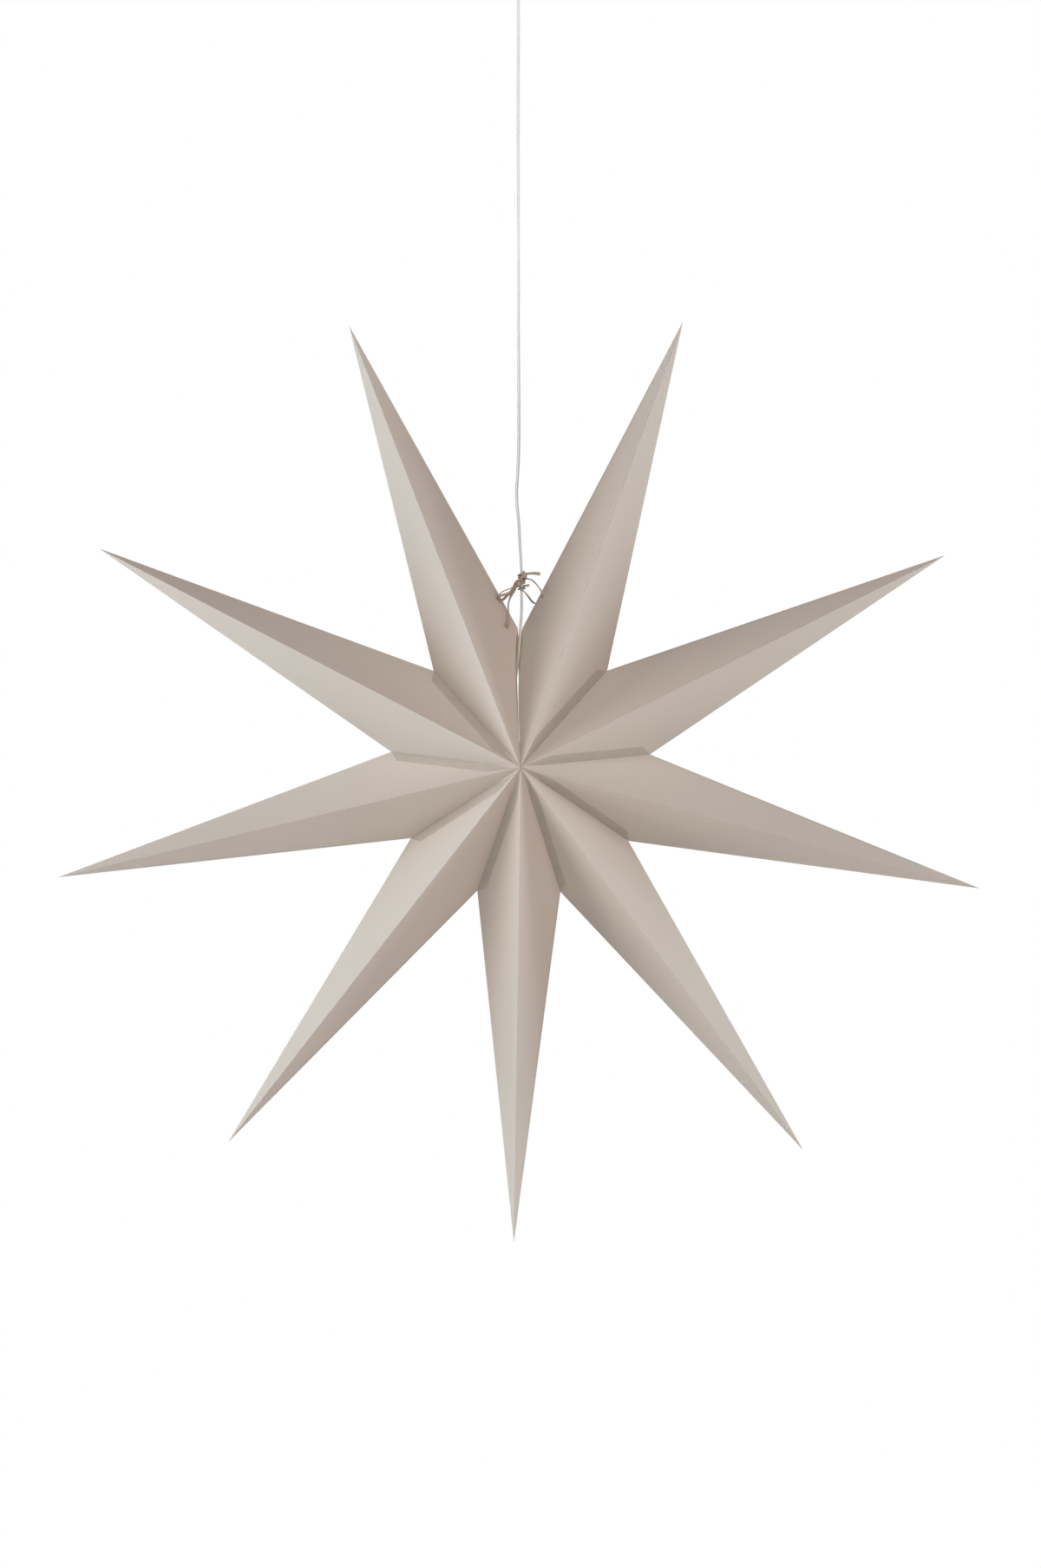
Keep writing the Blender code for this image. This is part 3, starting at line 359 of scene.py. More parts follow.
def new_finish(name, colour, roughness, metallic=0.0, **sockets):
    """A material with its Principled shader; colour is linear."""
    made = bpy.data.materials.new(name)
    made.use_nodes = True
    shader = made.node_tree.nodes["Principled BSDF"]
    shader.inputs["Base Color"].default_value = (*colour, 1.0)
    shader.inputs["Roughness"].default_value = roughness
    shader.inputs["Metallic"].default_value = metallic
    for plug, value in sockets.items():
        shader.inputs[plug.replace("_", " ")].default_value = value
    return made, made.node_tree, shader


# Finishes of the card and the strings; the two attributes, for the painted shade over doubled card and the
# darkening along the folds, are set on the faces of each point
STRING_COLOUR = (0.370, 0.333, 0.265)
PAPER_COLOUR = (0.520, 0.501, 0.452)
PAPER_DOUBLE_SHADE = (0.398, 0.379, 0.337)
# Painted shade: the card's colour where a second layer lies behind it and less light shines through
PAPER_EDGE = (0.700, 0.665, 0.595)
# Darker colour laid along the folds
PAPER_FOLD_DARK = (0.12, 0.11, 0.09)
# Painted glow of the card's inner skin, in place of light soaking through it
PAINTED_GLOW_THROUGH_CARD = (0.160, 0.120, 0.085)
SECOND_LAYER_SHADE, FOLD_DARKENING = "second_layer_shade", "fold"
FIBRE_STRETCH = (1.0, 1.0, 6.0)
CREASES_ROUND_STRING = 6.0
CREASE_WANDER = 1.5


def card_colour_with_shade(tree, spot, colour):
    """The card's colour, with painted shade over what is glued behind it, where less light comes through, and
    darker along its folds.
    """
    blotch = ranged(tree, noise(tree, spot, scale=60.0, detail=3.0), MIDDLE_NOISE, (0.8, 1.0))
    # Painted shade over doubled card, broken up at random
    double_shade = maths(tree, "MULTIPLY", attribute(tree, SECOND_LAYER_SHADE), blotch)
    broken = ranged(tree, noise(tree, spot, scale=150.0, detail=3.0), MIDDLE_NOISE, (0.3, 1.0))
    # Darker along the folds, broken up at random
    fold_dark = maths(tree, "MULTIPLY", attribute(tree, FOLD_DARKENING), broken)
    return colour_mix(tree, fold_dark, colour_mix(tree, double_shade, colour, PAPER_DOUBLE_SHADE), PAPER_FOLD_DARK)


def paper_finish(name, colour, with_painted_shade=False, painted_glow=None):
    """Uncoated card with its fibres; painted_glow, if given, is a colour the card emits as a painted glow,
    standing in for light that soaks through it from behind.
    """
    made, tree, shader = new_finish(name, colour, roughness=0.82, Specular_IOR_Level=0.25, Sheen_Weight=0.05)
    spot = object_coordinates(tree)
    grain = mottled(tree, spot, Cloud_Scale=7.0, Grain_Scale=1400.0, Depth=0.045)
    base = card_colour_with_shade(tree, spot, colour) if with_painted_shade else colour
    tree.links.new(tinted(tree, base, grain.outputs["Tone"]), shader.inputs["Base Color"])
    # Painted glow: the card emits this colour, though it is no lamp, in place of light soaking through it
    if painted_glow:
        tree.links.new(tinted(tree, painted_glow, grain.outputs["Tone"]), shader.inputs["Emission Color"])
        shader.inputs["Emission Strength"].default_value = 1.0
    fibre = tree.nodes.new("ShaderNodeMapping")
    fibre.inputs["Scale"].default_value = FIBRE_STRETCH
    tree.links.new(spot, fibre.inputs["Vector"])
    relief = noise(tree, fibre.outputs["Vector"], scale=600.0, detail=4.0, roughness=0.6)
    tree.links.new(ranged(tree, relief, MOST_NOISE, (0.76, 0.90)), shader.inputs["Roughness"])
    bump(tree, shader, relief, strength=0.25, distance=0.00012)
    return made


def string_finish():
    """Crumpled paper ribbon: creases and fibres run along it; the creases carry painted shade in their
    hollows and painted light on their ridges, and the fibres vary at random.
    """
    made, tree, shader = new_finish("paper_string", STRING_COLOUR, roughness=0.8, Sheen_Weight=0.1)
    split = tree.nodes.new("ShaderNodeSeparateXYZ")
    tree.links.new(tree.nodes.new("ShaderNodeTexCoord").outputs["UV"], split.inputs["Vector"])
    spot = object_coordinates(tree)
    wander = maths(tree, "MULTIPLY", noise(tree, spot, scale=300.0), CREASE_WANDER)
    round_string = maths(tree, "MULTIPLY", split.outputs["Y"], CREASES_ROUND_STRING)
    wave = maths(tree, "SINE", maths(tree, "MULTIPLY", maths(tree, "ADD", round_string, wander), math.tau))
    crease = ranged(tree, wave, (-1.0, 1.0), WHOLE)
    fibres = ranged(tree, noise(tree, spot, scale=2500.0, detail=3.0), MOST_NOISE, UNEVEN)
    # Painted shade and light: the colour follows the creases' relief, darker in the hollows and lighter on
    # the ridges
    tone = maths(tree, "MULTIPLY", ranged(tree, crease, WHOLE, (0.78, 1.12)), fibres)
    tree.links.new(tinted(tree, STRING_COLOUR, tone), shader.inputs["Base Color"])
    tree.links.new(ranged(tree, crease, WHOLE, (0.9, 0.7)), shader.inputs["Roughness"])
    bump(tree, shader, crease, strength=0.6, distance=0.0002)
    return made


# Finishes of the cord, the ceiling fitting, the lamp holder and the bulb
def moulded_finish(name, colour, roughness, grain=500.0, depth=0.03, metallic=0.0, **sockets):
    """Painted, moulded, glazed or turned surfaces with a faint unevenness."""
    made, tree, shader = new_finish(name, colour, roughness, metallic, **sockets)
    spot = object_coordinates(tree)
    skin = mottled(tree, spot, Cloud_Scale=25.0, Grain_Scale=grain, Depth=depth)
    tree.links.new(tinted(tree, colour, skin.outputs["Tone"]), shader.inputs["Base Color"])
    smears = noise(tree, spot, scale=90.0, detail=3.0)
    uneven = ranged(tree, smears, MOST_NOISE, [roughness * share for share in UNEVEN])
    tree.links.new(uneven, shader.inputs["Roughness"])
    bump(tree, shader, skin.outputs["Height"], strength=0.04, distance=0.00005)
    return made


def glass_finish():
    """Clear blown glass with a faint ripple."""
    made, tree, shader = new_finish(
        "clear_glass", (0.97, 0.98, 0.97), roughness=0.03, Transmission_Weight=1.0, IOR=1.5)
    bump(tree, shader, noise(tree, object_coordinates(tree), scale=40.0), strength=0.05, distance=0.0003)
    return made


# The outer skin carries the painted shade over doubled card and the darker folds
card = paper_finish("folded_card", PAPER_COLOUR, with_painted_shade=True)
# The inner skin gets the painted glow
card_inside = paper_finish("card_inside", PAPER_COLOUR, painted_glow=PAINTED_GLOW_THROUGH_CARD)
card_edge = paper_finish("cut_card_edge", PAPER_EDGE)
cord_vinyl = moulded_finish("white_flex", (0.60, 0.66, 0.69), roughness=0.32, grain=300.0, depth=0.04)
string = string_finish()
FINISHES = {
    "white_metal": moulded_finish(
        "white_enamel", (0.68, 0.68, 0.67), roughness=0.28, grain=250.0, depth=0.01, Coat_Weight=0.3),
    "white_plastic": moulded_finish("white_plastic", (0.64, 0.64, 0.63), roughness=0.36, grain=700.0),
    "insulation": moulded_finish("pale_ceramic", (0.60, 0.57, 0.51), roughness=0.5, grain=900.0, depth=0.08),
    "steel": moulded_finish(
        "zinc_plated_steel", (0.56, 0.56, 0.57), roughness=0.34, metallic=1.0, grain=800.0),
    "brass": moulded_finish("nickelled_brass", (0.62, 0.56, 0.42), roughness=0.28, metallic=1.0, grain=800.0),
    "black_glass": moulded_finish("black_insulator", (0.02, 0.02, 0.022), roughness=0.2),
    "filament": moulded_finish("yellow_filament", (0.86, 0.62, 0.16), roughness=0.6),
    "clear_glass": glass_finish(),
}


# Routes of the cords, as points from the star's centre: right, back, up
CORD_ROUTE = (
    (-0.0022, 0.0, 0.8797), (-0.0022, 0.0, 0.760), (-0.0025, 0.0, 0.700), (-0.0023, 0.0, 0.620),
    (-0.0020, 0.0, 0.540), (-0.0022, 0.0, 0.460), (-0.0018, 0.0, 0.380), (-0.0020, 0.0, 0.333),
    (-0.0032, 0.0, 0.306), (-0.0041, 0.0, 0.290), (-0.0036, 0.0, 0.276), (-0.0020, 0.0, 0.260),
    (-0.0009, 0.0, 0.240), (0.0002, 0.0, 0.222), (0.0010, 0.0, 0.206), (0.0011, 0.0, 0.196),
    (0.0011, 0.0, 0.186), (0.0012, 0.0, 0.163), (0.0001, 0.0, 0.149), (-0.0004, 0.0, 0.138),
    (-0.0013, 0.0, 0.128), (-0.0020, 0.0, 0.118), (-0.0036, 0.0, 0.106), (-0.0056, 0.0, 0.092),
    (-0.0074, 0.0, 0.076), (-0.0084, 0.0, 0.060), (-0.0085, 0.0, 0.048), (-0.0085, 0.0, 0.034),
    (-0.0085, 0.0, 0.021),
)
RIGHT_TAIL = ((0.0207, -0.0060, 0.2035), (0.0150, -0.0056, 0.2043), (0.0090, -0.0046, 0.2041))
RIGHT_ARC = (
    (0.0072, 0.0022, 0.1991), (0.0115, -0.0030, 0.1975), (0.0158, -0.0082, 0.1935),
    (0.0200, -0.0122, 0.1880), (0.0226, -0.0130, 0.1832), (0.0231, -0.0105, 0.1804),
    (0.0231, -0.0068, 0.1800), (0.0231, 0.0, 0.1800), (0.0231, 0.0068, 0.1800),
    (0.0230, 0.0108, 0.1792), (0.0208, 0.0128, 0.1765), (0.0174, 0.0110, 0.1740),
    (0.0143, 0.0070, 0.1738), (0.0110, 0.0028, 0.1765), (0.0072, -0.0010, 0.1815),
)
RIGHT_STUB = ((0.0060, 0.0036, 0.1918), (0.0092, 0.0030, 0.1925))
LEFT_TAIL = (
    (-0.0146, -0.0224, 0.1478), (-0.0135, -0.0180, 0.1512), (-0.0129, -0.0138, 0.1568),
    (-0.0128, -0.0108, 0.1640), (-0.0127, -0.0090, 0.1720), (-0.0108, -0.0070, 0.1785),
    (-0.0070, -0.0056, 0.1860), (-0.0035, -0.0048, 0.1920),
)
LEFT_LOOP = (
    (-0.0038, 0.0048, 0.1964), (-0.0084, 0.0060, 0.1894), (-0.0134, 0.0092, 0.1826),
    (-0.0174, 0.0128, 0.1787), (-0.0206, 0.0143, 0.1772), (-0.0231, 0.0127, 0.1771),
    (-0.0238, 0.0090, 0.1775), (-0.0238, 0.0, 0.1776), (-0.0238, -0.0090, 0.1777),
    (-0.0231, -0.0127, 0.1787), (-0.0206, -0.0143, 0.1803), (-0.0174, -0.0134, 0.1814),
    (-0.0135, -0.0112, 0.1824), (-0.0090, -0.0088, 0.1862), (-0.0045, -0.0072, 0.1918),
    (-0.0006, -0.0063, 0.1972), (0.0024, -0.0062, 0.2022), (0.0036, -0.0058, 0.2068),
)
LEFT_BOW = (
    (-0.0022, -0.0078, 0.1925), (-0.0080, -0.0105, 0.1893), (-0.0140, -0.0130, 0.1866),
    (-0.0190, -0.0150, 0.1844), (-0.0222, -0.0152, 0.1815), (-0.0228, -0.0150, 0.1782),
    (-0.0202, -0.0158, 0.1764), (-0.0152, -0.0138, 0.1786), (-0.0092, -0.0106, 0.1838),
    (-0.0036, -0.0078, 0.1902),
)

# How finely a route is smoothed, and how a string is wound into a ball
SMOOTH_STEPS = 24
BALL_STEPS = 14
BALL_ROUNDS = 5
BALL_LEAN = 0.9
BALL_START, BALL_GROWTH = 0.80, 0.20


def between(start, end, low, high, at):
    """The place at a knot between two places that have the knots low and high."""
    return (start * (high - at) + end * (at - low)) / (high - low)


def smooth_route(points, spacing):
    """Evenly spaced points on a smooth curve through the points given."""
    ends = [points[0] * 2 - points[1], *points, points[-1] * 2 - points[-2]]
    fine = []
    for four in zip(ends, ends[1:], ends[2:], ends[3:]):
        knots = [0.0]
        for start, end in zip(four, four[1:]):
            knots.append(knots[-1] + math.sqrt((end - start).length))
        for i in range(SMOOTH_STEPS):
            at = knots[1] + (knots[2] - knots[1]) * i / SMOOTH_STEPS
            once = [between(*four[j:j + 2], *knots[j:j + 2], at) for j in range(3)]
            twice = [between(*once[j:j + 2], knots[j], knots[j + 2], at) for j in range(2)]
            fine.append(between(*twice, knots[1], knots[2], at))
    fine.append(points[-1])
    steps = [0.0]
    for start, end in zip(fine, fine[1:]):
        steps.append(steps[-1] + (end - start).length)
    count = max(2, round(steps[-1] / spacing))
    even, place = [], 0
    for i in range(count + 1):
        wanted = steps[-1] * i / count
        while place < len(steps) - 2 and steps[place + 1] < wanted:
            place += 1
        share = (wanted - steps[place]) / (steps[place + 1] - steps[place])
        even.append(fine[place].lerp(fine[place + 1], min(share, 1.0)))
    return even


def from_centre(points):
    """Points from the star's centre as places in the scene."""
    return [STAR_CENTRE + Vector(point) for point in points]


def wrap(height, rise, turns):
    """Points of a string that winds round the pendant cord."""
    count = round(abs(turns) * WRAP_STEPS)
    points = []
    for i in range(count + 1):
        angle = math.radians(WRAP_START) + math.tau * turns * i / count
        points.append((KNOT_CENTRE + WRAP_RADIUS * math.cos(angle), -WRAP_RADIUS * math.sin(angle),
                       height + rise * i / count))
    return points


def wound_ball(centre, radius):
    """Places of a string wound round itself into a small ball."""
    places = []
    steps = BALL_ROUNDS * BALL_STEPS
    for i in range(steps + 1):
        share = i / steps
        angle, lean = math.tau * BALL_ROUNDS * share, math.pi * BALL_LEAN * share
        reach = radius * (BALL_START + BALL_GROWTH * share)
        places.append(centre + reach * Vector((
            math.sin(angle) * math.cos(lean), math.sin(angle) * math.sin(lean), math.cos(angle),
        )))
    return places


def section_line(name, corners):
    """A closed outline to sweep along a route."""
    line = bpy.data.curves.new(name, "CURVE")
    line.dimensions = "2D"
    run = line.splines.new("POLY")
    run.points.add(len(corners) - 1)
    for spot, corner in zip(run.points, corners):
        spot.co = (*corner, 0.0, 1.0)
    run.use_cyclic_u = True
    return placed(name, line)


def flex_section():
    """The cross-section of a flat two-core flex: two round cores joined side by side."""
    middle = CORD_WIDTH / 2 - CORE_RADIUS
    corners = []
    for side, start in ((1, -CORE_ARC / 2), (-1, 180 - CORE_ARC / 2)):
        for i in range(CORE_CORNERS):
            angle = math.radians(start + CORE_ARC * i / (CORE_CORNERS - 1))
            corners.append((side * middle + CORE_RADIUS * math.cos(angle), CORE_RADIUS * math.sin(angle)))
    return section_line("flex_section", corners)


def ribbon_section():
    """The cross-section of paper ribbon crumpled into a string: flat, with a crease along one side."""
    corners = []
    for i in range(RIBBON_CORNERS):
        angle = math.tau * i / RIBBON_CORNERS
        crease = RIBBON_CREASE if i == RIBBON_CORNERS // 4 else 1.0
        corners.append((STRING_WIDTH / 2 * math.cos(angle), STRING_THICKNESS / 2 * math.sin(angle) * crease))
    return section_line("ribbon_section", corners)


def swept(name, places, material, section, twist=None, swell=None):
    """A closed tube with a section of its own along a route, as a mesh with a UV map."""
    line = bpy.data.curves.new(name + "_line", "CURVE")
    line.dimensions = "3D"
    line.use_fill_caps = True
    line.bevel_mode = "OBJECT"
    line.bevel_object = section
    run = line.splines.new("POLY")
    run.points.add(len(places) - 1)
    for i, (spot, place) in enumerate(zip(run.points, places)):
        spot.co = (*place, 1.0)
        spot.tilt = twist[i] if twist else 0.0
        spot.radius = swell[i] if swell else 1.0
    guide = placed(name + "_guide", line)
    bpy.context.view_layer.update()
    data = bpy.data.meshes.new_from_object(guide.evaluated_get(bpy.context.evaluated_depsgraph_get()))
    bpy.data.objects.remove(guide)
    data.name = name
    shape = shape_of(data, SAME_PLACE)
    bmesh.ops.recalc_face_normals(shape, faces=shape.faces)
    settle(shape, data, material)
    smooth_but_for(data, SHARP_ON_CORD)
    return placed(name, data)


def make_flex():
    """The pendant cord, which bends where it leaves the ceiling grip."""
    section = flex_section()
    places = smooth_route(from_centre(CORD_ROUTE), CORD_SPACING)
    twist = [math.radians(FLEX_TWIST) * math.sin(place.z * FLEX_TWIST_RATE) for place in places]
    flex = swept("pendant_flex", places, cord_vinyl, section, twist)
    bpy.data.objects.remove(section)
    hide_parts("pendant_cord")
    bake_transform(flex, "ceiling", "pendant", start=(0, 0, SWING_HEIGHT + BEND_REACH),
             end=(0, 0, SWING_HEIGHT - BEND_REACH))


def tie_string(name, node, index, section, points, bulk, twist_start, ball, radius, bow=None):
    """A string through the hole of its point, with its knot and bow, which all ride on the point's body."""
    places = smooth_route(from_centre(points), STRING_SPACING)
    count = len(places)
    twist = [math.radians(RIBBON_TWIST) * math.sin(i * RIBBON_TWIST_RATE + twist_start) for i in range(count)]
    swell = [bulk + TAIL_SWELL * max(0.0, 1.0 - i / TAIL_STEPS) for i in range(count)]
    made = swept(name, places, string, section, twist, swell)
    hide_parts(node)
    knot = wound_ball(STAR_CENTRE + Vector(ball), radius - STRING_THICKNESS / 2)
    on_it = [swept(f"{name}_knot", knot, string, section)]
    if bow:
        on_it.append(swept(f"{name}_bow", smooth_route(from_centre(bow), STRING_SPACING), string, section))
    for piece in (made, *on_it):
        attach(piece, f"point_{index + 1}")
        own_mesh(piece)


def make_strings():
    """The two strings that tie the star shut round the pendant cord."""
    rise = WRAP_PITCH * WRAP_TURNS
    right = (*RIGHT_TAIL, *wrap(RIGHT_UPPER_WRAP, -rise, WRAP_TURNS), *RIGHT_ARC,
             *wrap(RIGHT_LOWER_WRAP, rise, WRAP_TURNS), *RIGHT_STUB)
    left = (*LEFT_TAIL, *wrap(LEFT_WRAP, rise, -WRAP_TURNS), *LEFT_LOOP)
    section = ribbon_section()
    tie_string("string_on_last_point", "tie_string_right", LAST_POINT, section, right,
               bulk=1.15, twist_start=20, ball=UPPER_KNOT, radius=UPPER_KNOT_RADIUS)
    tie_string("string_on_first_point", "tie_string_left", 0, section, left,
               bulk=1.45, twist_start=21, ball=LOWER_KNOT, radius=LOWER_KNOT_RADIUS, bow=LEFT_BOW)
    bpy.data.objects.remove(section)


make_flex()
make_strings()


# The folded card; a face's skin is its place in the list of the card's materials
OUTER, INNER, CUT = 0, 1, 2
CARD_SKINS = (card, card_inside, card_edge)
HUB_REACH = 0.008

# A cut edge is turned away from front and back, or is small and about as narrow as the card is thick
CUT_TURN = 0.2
CUT_THICKNESS = 0.00056
CUT_AREA = 0.0003

# How nearly faces lie in one plane, as a cosine, and how near a cut a corner is taken as on it
ONE_PLANE = 0.9999
CUT_SNAP = 0.00001


def skin_of(face):
    """Which skin of the card a face is: outer, inner or the cut edge."""
    side = FRONT if face.calc_center_median().y < STAR_CENTRE.y else BACK
    shortest = min(edge.calc_length() for edge in face.edges)
    if abs(face.normal.y) < CUT_TURN or (shortest < CUT_THICKNESS and face.calc_area() < CUT_AREA):
        return CUT
    return OUTER if face.normal.y * side > 0 else INNER


def right_notch(index):
    """Angle and radius of the notch on the clockwise side of a point."""
    if index == 0:
        return SLIT_FIRST_ANGLE, SLIT_NOTCH_RADIUS
    return (TIP_ANGLES[index - 1] + TIP_ANGLES[index]) / 2, NOTCH_RADIUS


def left_notch(index):
    """Angle and radius of the notch on the counterclockwise side of a point."""
    if index == LAST_POINT:
        return SLIT_LAST_ANGLE, SLIT_NOTCH_RADIUS
    return right_notch(index + 1)


def bring_to_pole(shape):
    """Runs the outer skins on to the pole of the hub, where the corners of all the points meet."""
    for vertex in shape.verts:
        offset = vertex.co - STAR_CENTRE
        outer = any(face.material_index == OUTER for face in vertex.link_faces)
        if outer and math.hypot(offset.x, offset.z) < HUB_REACH:
            vertex.co = STAR_CENTRE + Vector((0, math.copysign(HALF_DEPTH, offset.y), 0))
    bmesh.ops.remove_doubles(shape, verts=shape.verts, dist=SAME_PLACE)


def raw_edges(shape, side):
    """The edges of the card's outer skin that run up the slit, in front or behind."""
    found = []
    for edge in shape.edges:
        middle = (edge.verts[0].co + edge.verts[1].co) / 2 - STAR_CENTRE
        skins = {face.material_index for face in edge.link_faces}
        if skins == {OUTER, CUT} and middle.y * side > 0 and abs(middle.x) < SLIT_SPREAD * middle.z:
            found.append(edge)
    return found


def slide_along(vertex, aside):
    """Moves a corner of the slit's raw edge sideways, along its own facet."""
    facet = next(face for face in vertex.link_faces if face.material_index == OUTER)
    vertex.co += Vector((aside, -facet.normal.x / facet.normal.y * aside, 0))


def close_behind(ends):
    """Draws the raw edges at the back of the slit together, most of all in its upper part."""
    for vertex in ends[1:-1]:
        aside = STAR_CENTRE.x + SLIT_BACK_MIDDLE - vertex.co.x
        aside -= math.copysign(SLIT_BACK_GAP / 2, aside)
        share = 1.0 if vertex.co.z - STAR_CENTRE.z > SLIT_BACK_HEIGHT else SLIT_BACK_LOW_SHARE
        slide_along(vertex, aside * share)


def lay_on(curve, vertices):
    """Moves corners sideways on to a curve, each at its own height."""
    for vertex in vertices:
        for low, high in zip(curve, curve[1:]):
            if low.z <= vertex.co.z <= high.z:
                vertex.co = low.lerp(high, (vertex.co.z - low.z) / (high.z - low.z))
                break


def bow_slit_edge(shape):
    """Rounds the raw edge at the slit, which the model has as straight runs."""
    for side in (FRONT, BACK):
        edges = raw_edges(shape, side)
        corners = dict.fromkeys(vertex for edge in edges for vertex in edge.verts)
        ends = sorted(corners, key=lambda vertex: vertex.co.z)
        if side == BACK:
            close_behind(ends)
        else:
            slide_along(ends[-2], SLIT_FRONT_SHIFT)
        curve = smooth_route([vertex.co.copy() for vertex in ends], SLIT_CURVE_SPACING)
        made = bmesh.ops.subdivide_edges(shape, edges=edges, cuts=SLIT_CUTS)["geom_inner"]
        lay_on(curve, [part for part in made if isinstance(part, bmesh.types.BMVert)])


def facing(vector, inside):
    """A vector, turned round if it points away from the inside."""
    return vector if vector.dot(inside) > 0 else -vector


def faces_of_facet(shape, normal, side):
    """The outer faces that lie in one flat facet, in front or behind."""
    return [
        face for face in shape.faces
        if face.material_index == OUTER and abs(face.normal.dot(normal)) > ONE_PLANE
        and face.calc_center_median().y * side > 0
    ]


def mark_facet(shape, normal, side, outline, inside, value):
    """Cuts the outline of what is glued behind into a flat facet, and marks what lies inside it with the
    strength of its painted shade.
    """
    layer = shape.faces.layers.float[SECOND_LAYER_SHADE]
    walls = [(start, facing(normal.cross(end - start).normalized(), inside - start))
             for start, end in zip(outline, outline[1:])]
    for start, across in walls:
        faces = faces_of_facet(shape, normal, side)
        parts = dict.fromkeys(part for face in faces for part in (face, *face.verts, *face.edges))
        bmesh.ops.bisect_plane(shape, geom=list(parts), plane_co=start, plane_no=across, dist=CUT_SNAP)
    for face in faces_of_facet(shape, normal, side):
        middle = face.calc_center_median()
        if all((middle - start).dot(across) > 0 for start, across in walls):
            face[layer] = value


def facet(index, side, angle, radius):
    """Pole, tip and notch of one facet of a point, and the facet's normal."""
    pole = STAR_CENTRE + Vector((0, side * HALF_DEPTH, 0))
    tip = STAR_CENTRE + direction(TIP_ANGLES[index]) * TIP_RADIUS
    notch = STAR_CENTRE + direction(angle) * radius
    return pole, tip, notch, (tip - pole).cross(notch - pole).normalized()


def mark_flap(shape, index, side):
    """Marks where the clockwise neighbour's glue flap lies behind a point's clockwise facet, for painted
    shade there.
    """
    pole, tip, notch, normal = facet(index, side, *right_notch(index))
    along, length = (notch - pole).normalized(), (notch - pole).length
    over = facing(normal.cross(along), tip - notch) * FLAP_WIDTH
    outline = (pole, pole + along * FLAP_TAPER + over, pole + along * (length - FLAP_SETBACK) + over, notch)
    mark_facet(shape, normal, side, outline, pole + along * (length / 2), FLAP_SHADE)


def mark_seam(shape, index):
    """Marks where the strip that closes the sheet lies, along the counterclockwise side crease in front, for
    painted shade there.
    """
    pole, tip, notch, normal = facet(index, FRONT, *left_notch(index))
    along, length = (tip - notch).normalized(), (tip - notch).length
    over = facing(normal.cross(along), pole - notch) * SEAM_WIDTH
    end = length * SEAM_END_SHARE
    outline = (notch + along * SEAM_SETBACK, notch + along * (SEAM_SETBACK + SEAM_WIDTH) + over,
               notch + along * (end - SEAM_WIDTH) + over, notch + along * end)
    mark_facet(shape, normal, FRONT, outline, notch + along * (length / 2), SEAM_SHADES[index])


def folded_point(index):
    """One point of the star as a thin folded sheet with soft folds, riding on its own body."""
    node = f"point_{index + 1}"
    shape = shape_of(frame["nodes"][node].data, SAME_PLACE, FLAT_SHEET)
    shape.faces.layers.float.new(SECOND_LAYER_SHADE)
    fold_dark = shape.faces.layers.float.new(FOLD_DARKENING)
    for face in shape.faces:
        face.material_index = skin_of(face)
    bring_to_pole(shape)
    if index in (0, LAST_POINT):
        bow_slit_edge(shape)
    folds = [
        edge for edge in shape.edges
        if [face.material_index for face in edge.link_faces] == [OUTER, OUTER]
        and edge.calc_face_angle(0.0) > math.radians(FOLD_ANGLE)
    ]
    # The rounded folds are made darker by each point's own amount
    for face in eased(shape, folds, FOLD_ROUNDING):
        face[fold_dark] = FOLD_TONES[index]
    if index > 0:
        # The flaps behind each valley get painted shade on the facets in front of them
        mark_flap(shape, index, FRONT)
        mark_flap(shape, index, BACK)
    mark_seam(shape, index)
    data = bpy.data.meshes.new(f"card_{node}")
    settle(shape, data, *CARD_SKINS)
    data.shade_flat()
    made = placed(data.name, data)
    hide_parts(node)
    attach(made, node)
    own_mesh(made)


for index in range(len(TIP_ANGLES)):
    folded_point(index)


# The ceiling fitting, the lamp holder and the bulb: how far the edges of each new piece are eased
EASED = {
    "mounting_plate": 0.0003, "canopy_cup": 0.0004, "cord_grip": 0.0003, "grip_nut": 0.0001,
    "grip_screw": 0.0001, "holder_cap": 0.0003, "cord_clamp": 0.0001, "holder_body": 0.0003,
    "terminal_block": 0.0002, "contact_block": 0.0002, "socket_shell": 0.0, "bulb_base": 0.0,
    "bulb_insulator": 0.0, "bulb_tip": 0.0, "bulb_glass": 0.0, "bulb_stem": 0.0, "bulb_filament": 0.0,
}
BLOWN_OR_BENT = ("bulb_glass", "bulb_stem", "bulb_filament")


def finished_piece(node, body, slot):
    """A copy of a rigid piece with smooth round faces and its edges eased."""
    data = frame["nodes"][node].data.copy()
    data.name = f"{node}_finished"
    shape = shape_of(data, SAME_FINE_PLACE, FLAT_SURFACE)
    if EASED[node]:
        corners = [edge for edge in shape.edges if len(edge.link_faces) == 2
                   and edge.calc_face_angle() > math.radians(SHARP_CORNER)]
        eased(shape, corners, EASED[node])
    bmesh.ops.recalc_face_normals(shape, faces=shape.faces)
    settle(shape, data, FINISHES[slot])
    smooth_but_for(data, SHARP_CORNER)
    made = placed(data.name, data)
    if node in BLOWN_OR_BENT:
        smooth = made.modifiers.new("smooth", "SUBSURF")
        smooth.levels = smooth.render_levels = 1
    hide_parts(node)
    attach(made, body)


def finish_rigid_pieces():
    """Finishes the rigid pieces; the screws and the contact keep their own solid."""
    slots = {entry["node"]: entry["material_slot"] for entry in frame["record"]["subparts"]}
    for body, nodes in frame["record"]["behaviour"]["bodies"].items():
        for node in nodes:
            if node in EASED:
                finished_piece(node, body, slots[node])
            elif slots[node] in FINISHES:
                frame["nodes"][node].material_slots[0].material = FINISHES[slots[node]]


finish_rigid_pieces()


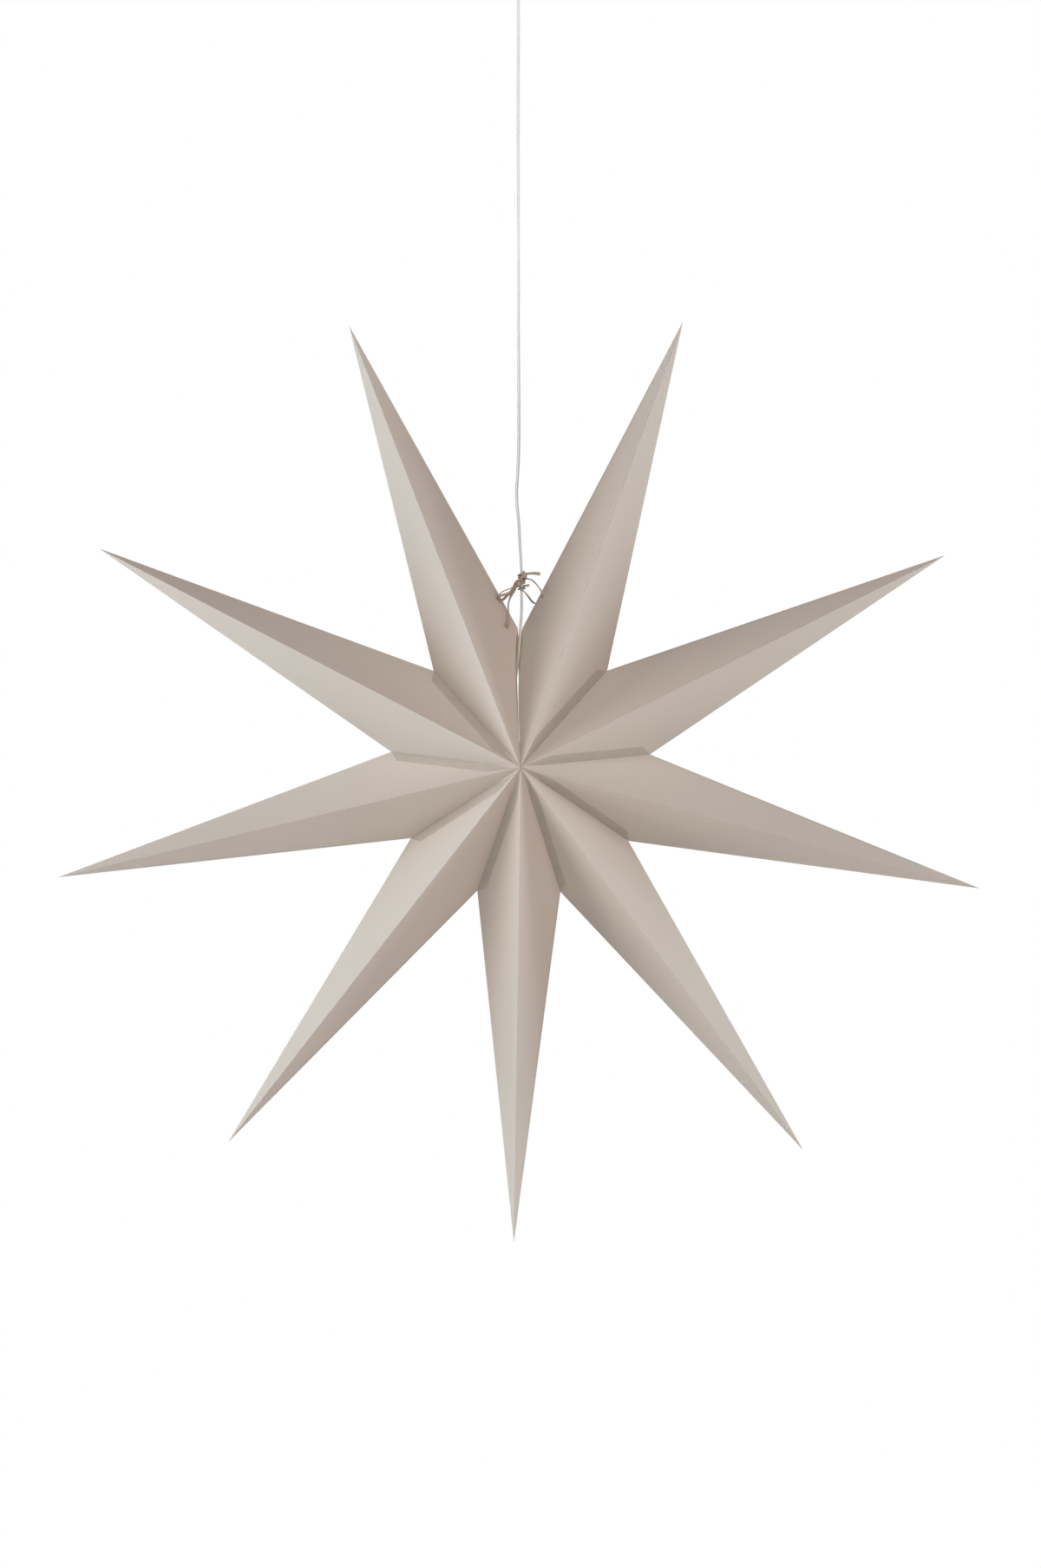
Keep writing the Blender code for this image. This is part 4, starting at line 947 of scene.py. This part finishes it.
# Studio: lights with their place in metres and their power in watts for red, green and blue
FLOOR_DROP = -2.4
FLOOR_REACH = 14.0
FLOOR_COLOUR = (0.93, 0.93, 0.93)
WHITE = (1.0, 1.0, 1.0)
AMBIENT = (0.12, 0.12, 0.12)
SOFT_BOX_SIZE = (1.2, 1.6)
SOFT_BOXES = (
    ("left_edge_light", (-2.6, -0.15, -0.9), (24.0, 30.0, 34.0)),
    ("left_light", (-2.3, -1.2, -0.9), (28.0, 24.0, 22.0)),
    ("right_edge_light", (2.6, -0.15, -0.9), (28.0, 31.0, 32.0)),
    ("right_front_light", (1.3, -3.4, -0.9), (43.0, 29.0, 25.0)),
    ("high_front_light", (0.0, -3.3, 0.7), (68.0, 61.0, 60.0)),
)


def soft_box(name, place, power):
    """A soft rectangular light aimed at the star."""
    data = bpy.data.lights.new(name, "AREA")
    data.shape = "RECTANGLE"
    data.size, data.size_y = SOFT_BOX_SIZE
    data.energy = max(power)
    data.color = [share / max(power) for share in power]
    made = placed(name, data)
    made.location = place
    made.rotation_euler = (STAR_CENTRE - Vector(place)).to_track_quat("-Z", "Y").to_euler()
    made.visible_camera = False


def white_for_the_camera(tree, plain, end_socket):
    """Shows pure white to the camera, also through glass, and the plain shader to every other ray."""
    seen = tree.nodes.new("ShaderNodeEmission")
    feed(tree, seen.inputs["Color"], WHITE)
    path = tree.nodes.new("ShaderNodeLightPath")
    in_view = maths(tree, "MAXIMUM", path.outputs["Is Camera Ray"], path.outputs["Is Transmission Ray"])
    choose = tree.nodes.new("ShaderNodeMixShader")
    tree.links.new(in_view, choose.inputs["Fac"])
    tree.links.new(plain, choose.inputs[1])
    tree.links.new(seen.outputs["Emission"], choose.inputs[2])
    tree.links.new(choose.outputs["Shader"], end_socket)


def lay_floor():
    """A plain pale floor well below the star."""
    shape = bmesh.new()
    bmesh.ops.create_grid(shape, x_segments=1, y_segments=1, size=FLOOR_REACH)
    bmesh.ops.translate(shape, verts=shape.verts, vec=(0, 0, FLOOR_DROP))
    pale, tree, shader = new_finish("pale_floor", FLOOR_COLOUR, roughness=0.8)
    white_for_the_camera(tree, shader.outputs["BSDF"], tree.nodes["Material Output"].inputs["Surface"])
    data = bpy.data.meshes.new("floor")
    settle(shape, data, pale)
    placed("floor", data)


def light_the_studio():
    """A faint even light all round, and the soft boxes."""
    world = bpy.data.worlds.new("studio")
    bpy.context.scene.world = world
    world.use_nodes = True
    tree = world.node_tree
    tree.nodes.clear()
    fill = tree.nodes.new("ShaderNodeBackground")
    feed(tree, fill.inputs["Color"], AMBIENT)
    end = tree.nodes.new("ShaderNodeOutputWorld")
    white_for_the_camera(tree, fill.outputs["Background"], end.inputs["Surface"])
    for light in SOFT_BOXES:
        soft_box(*light)
    bpy.context.scene.view_settings.view_transform = "Standard"


lay_floor()
light_the_studio()
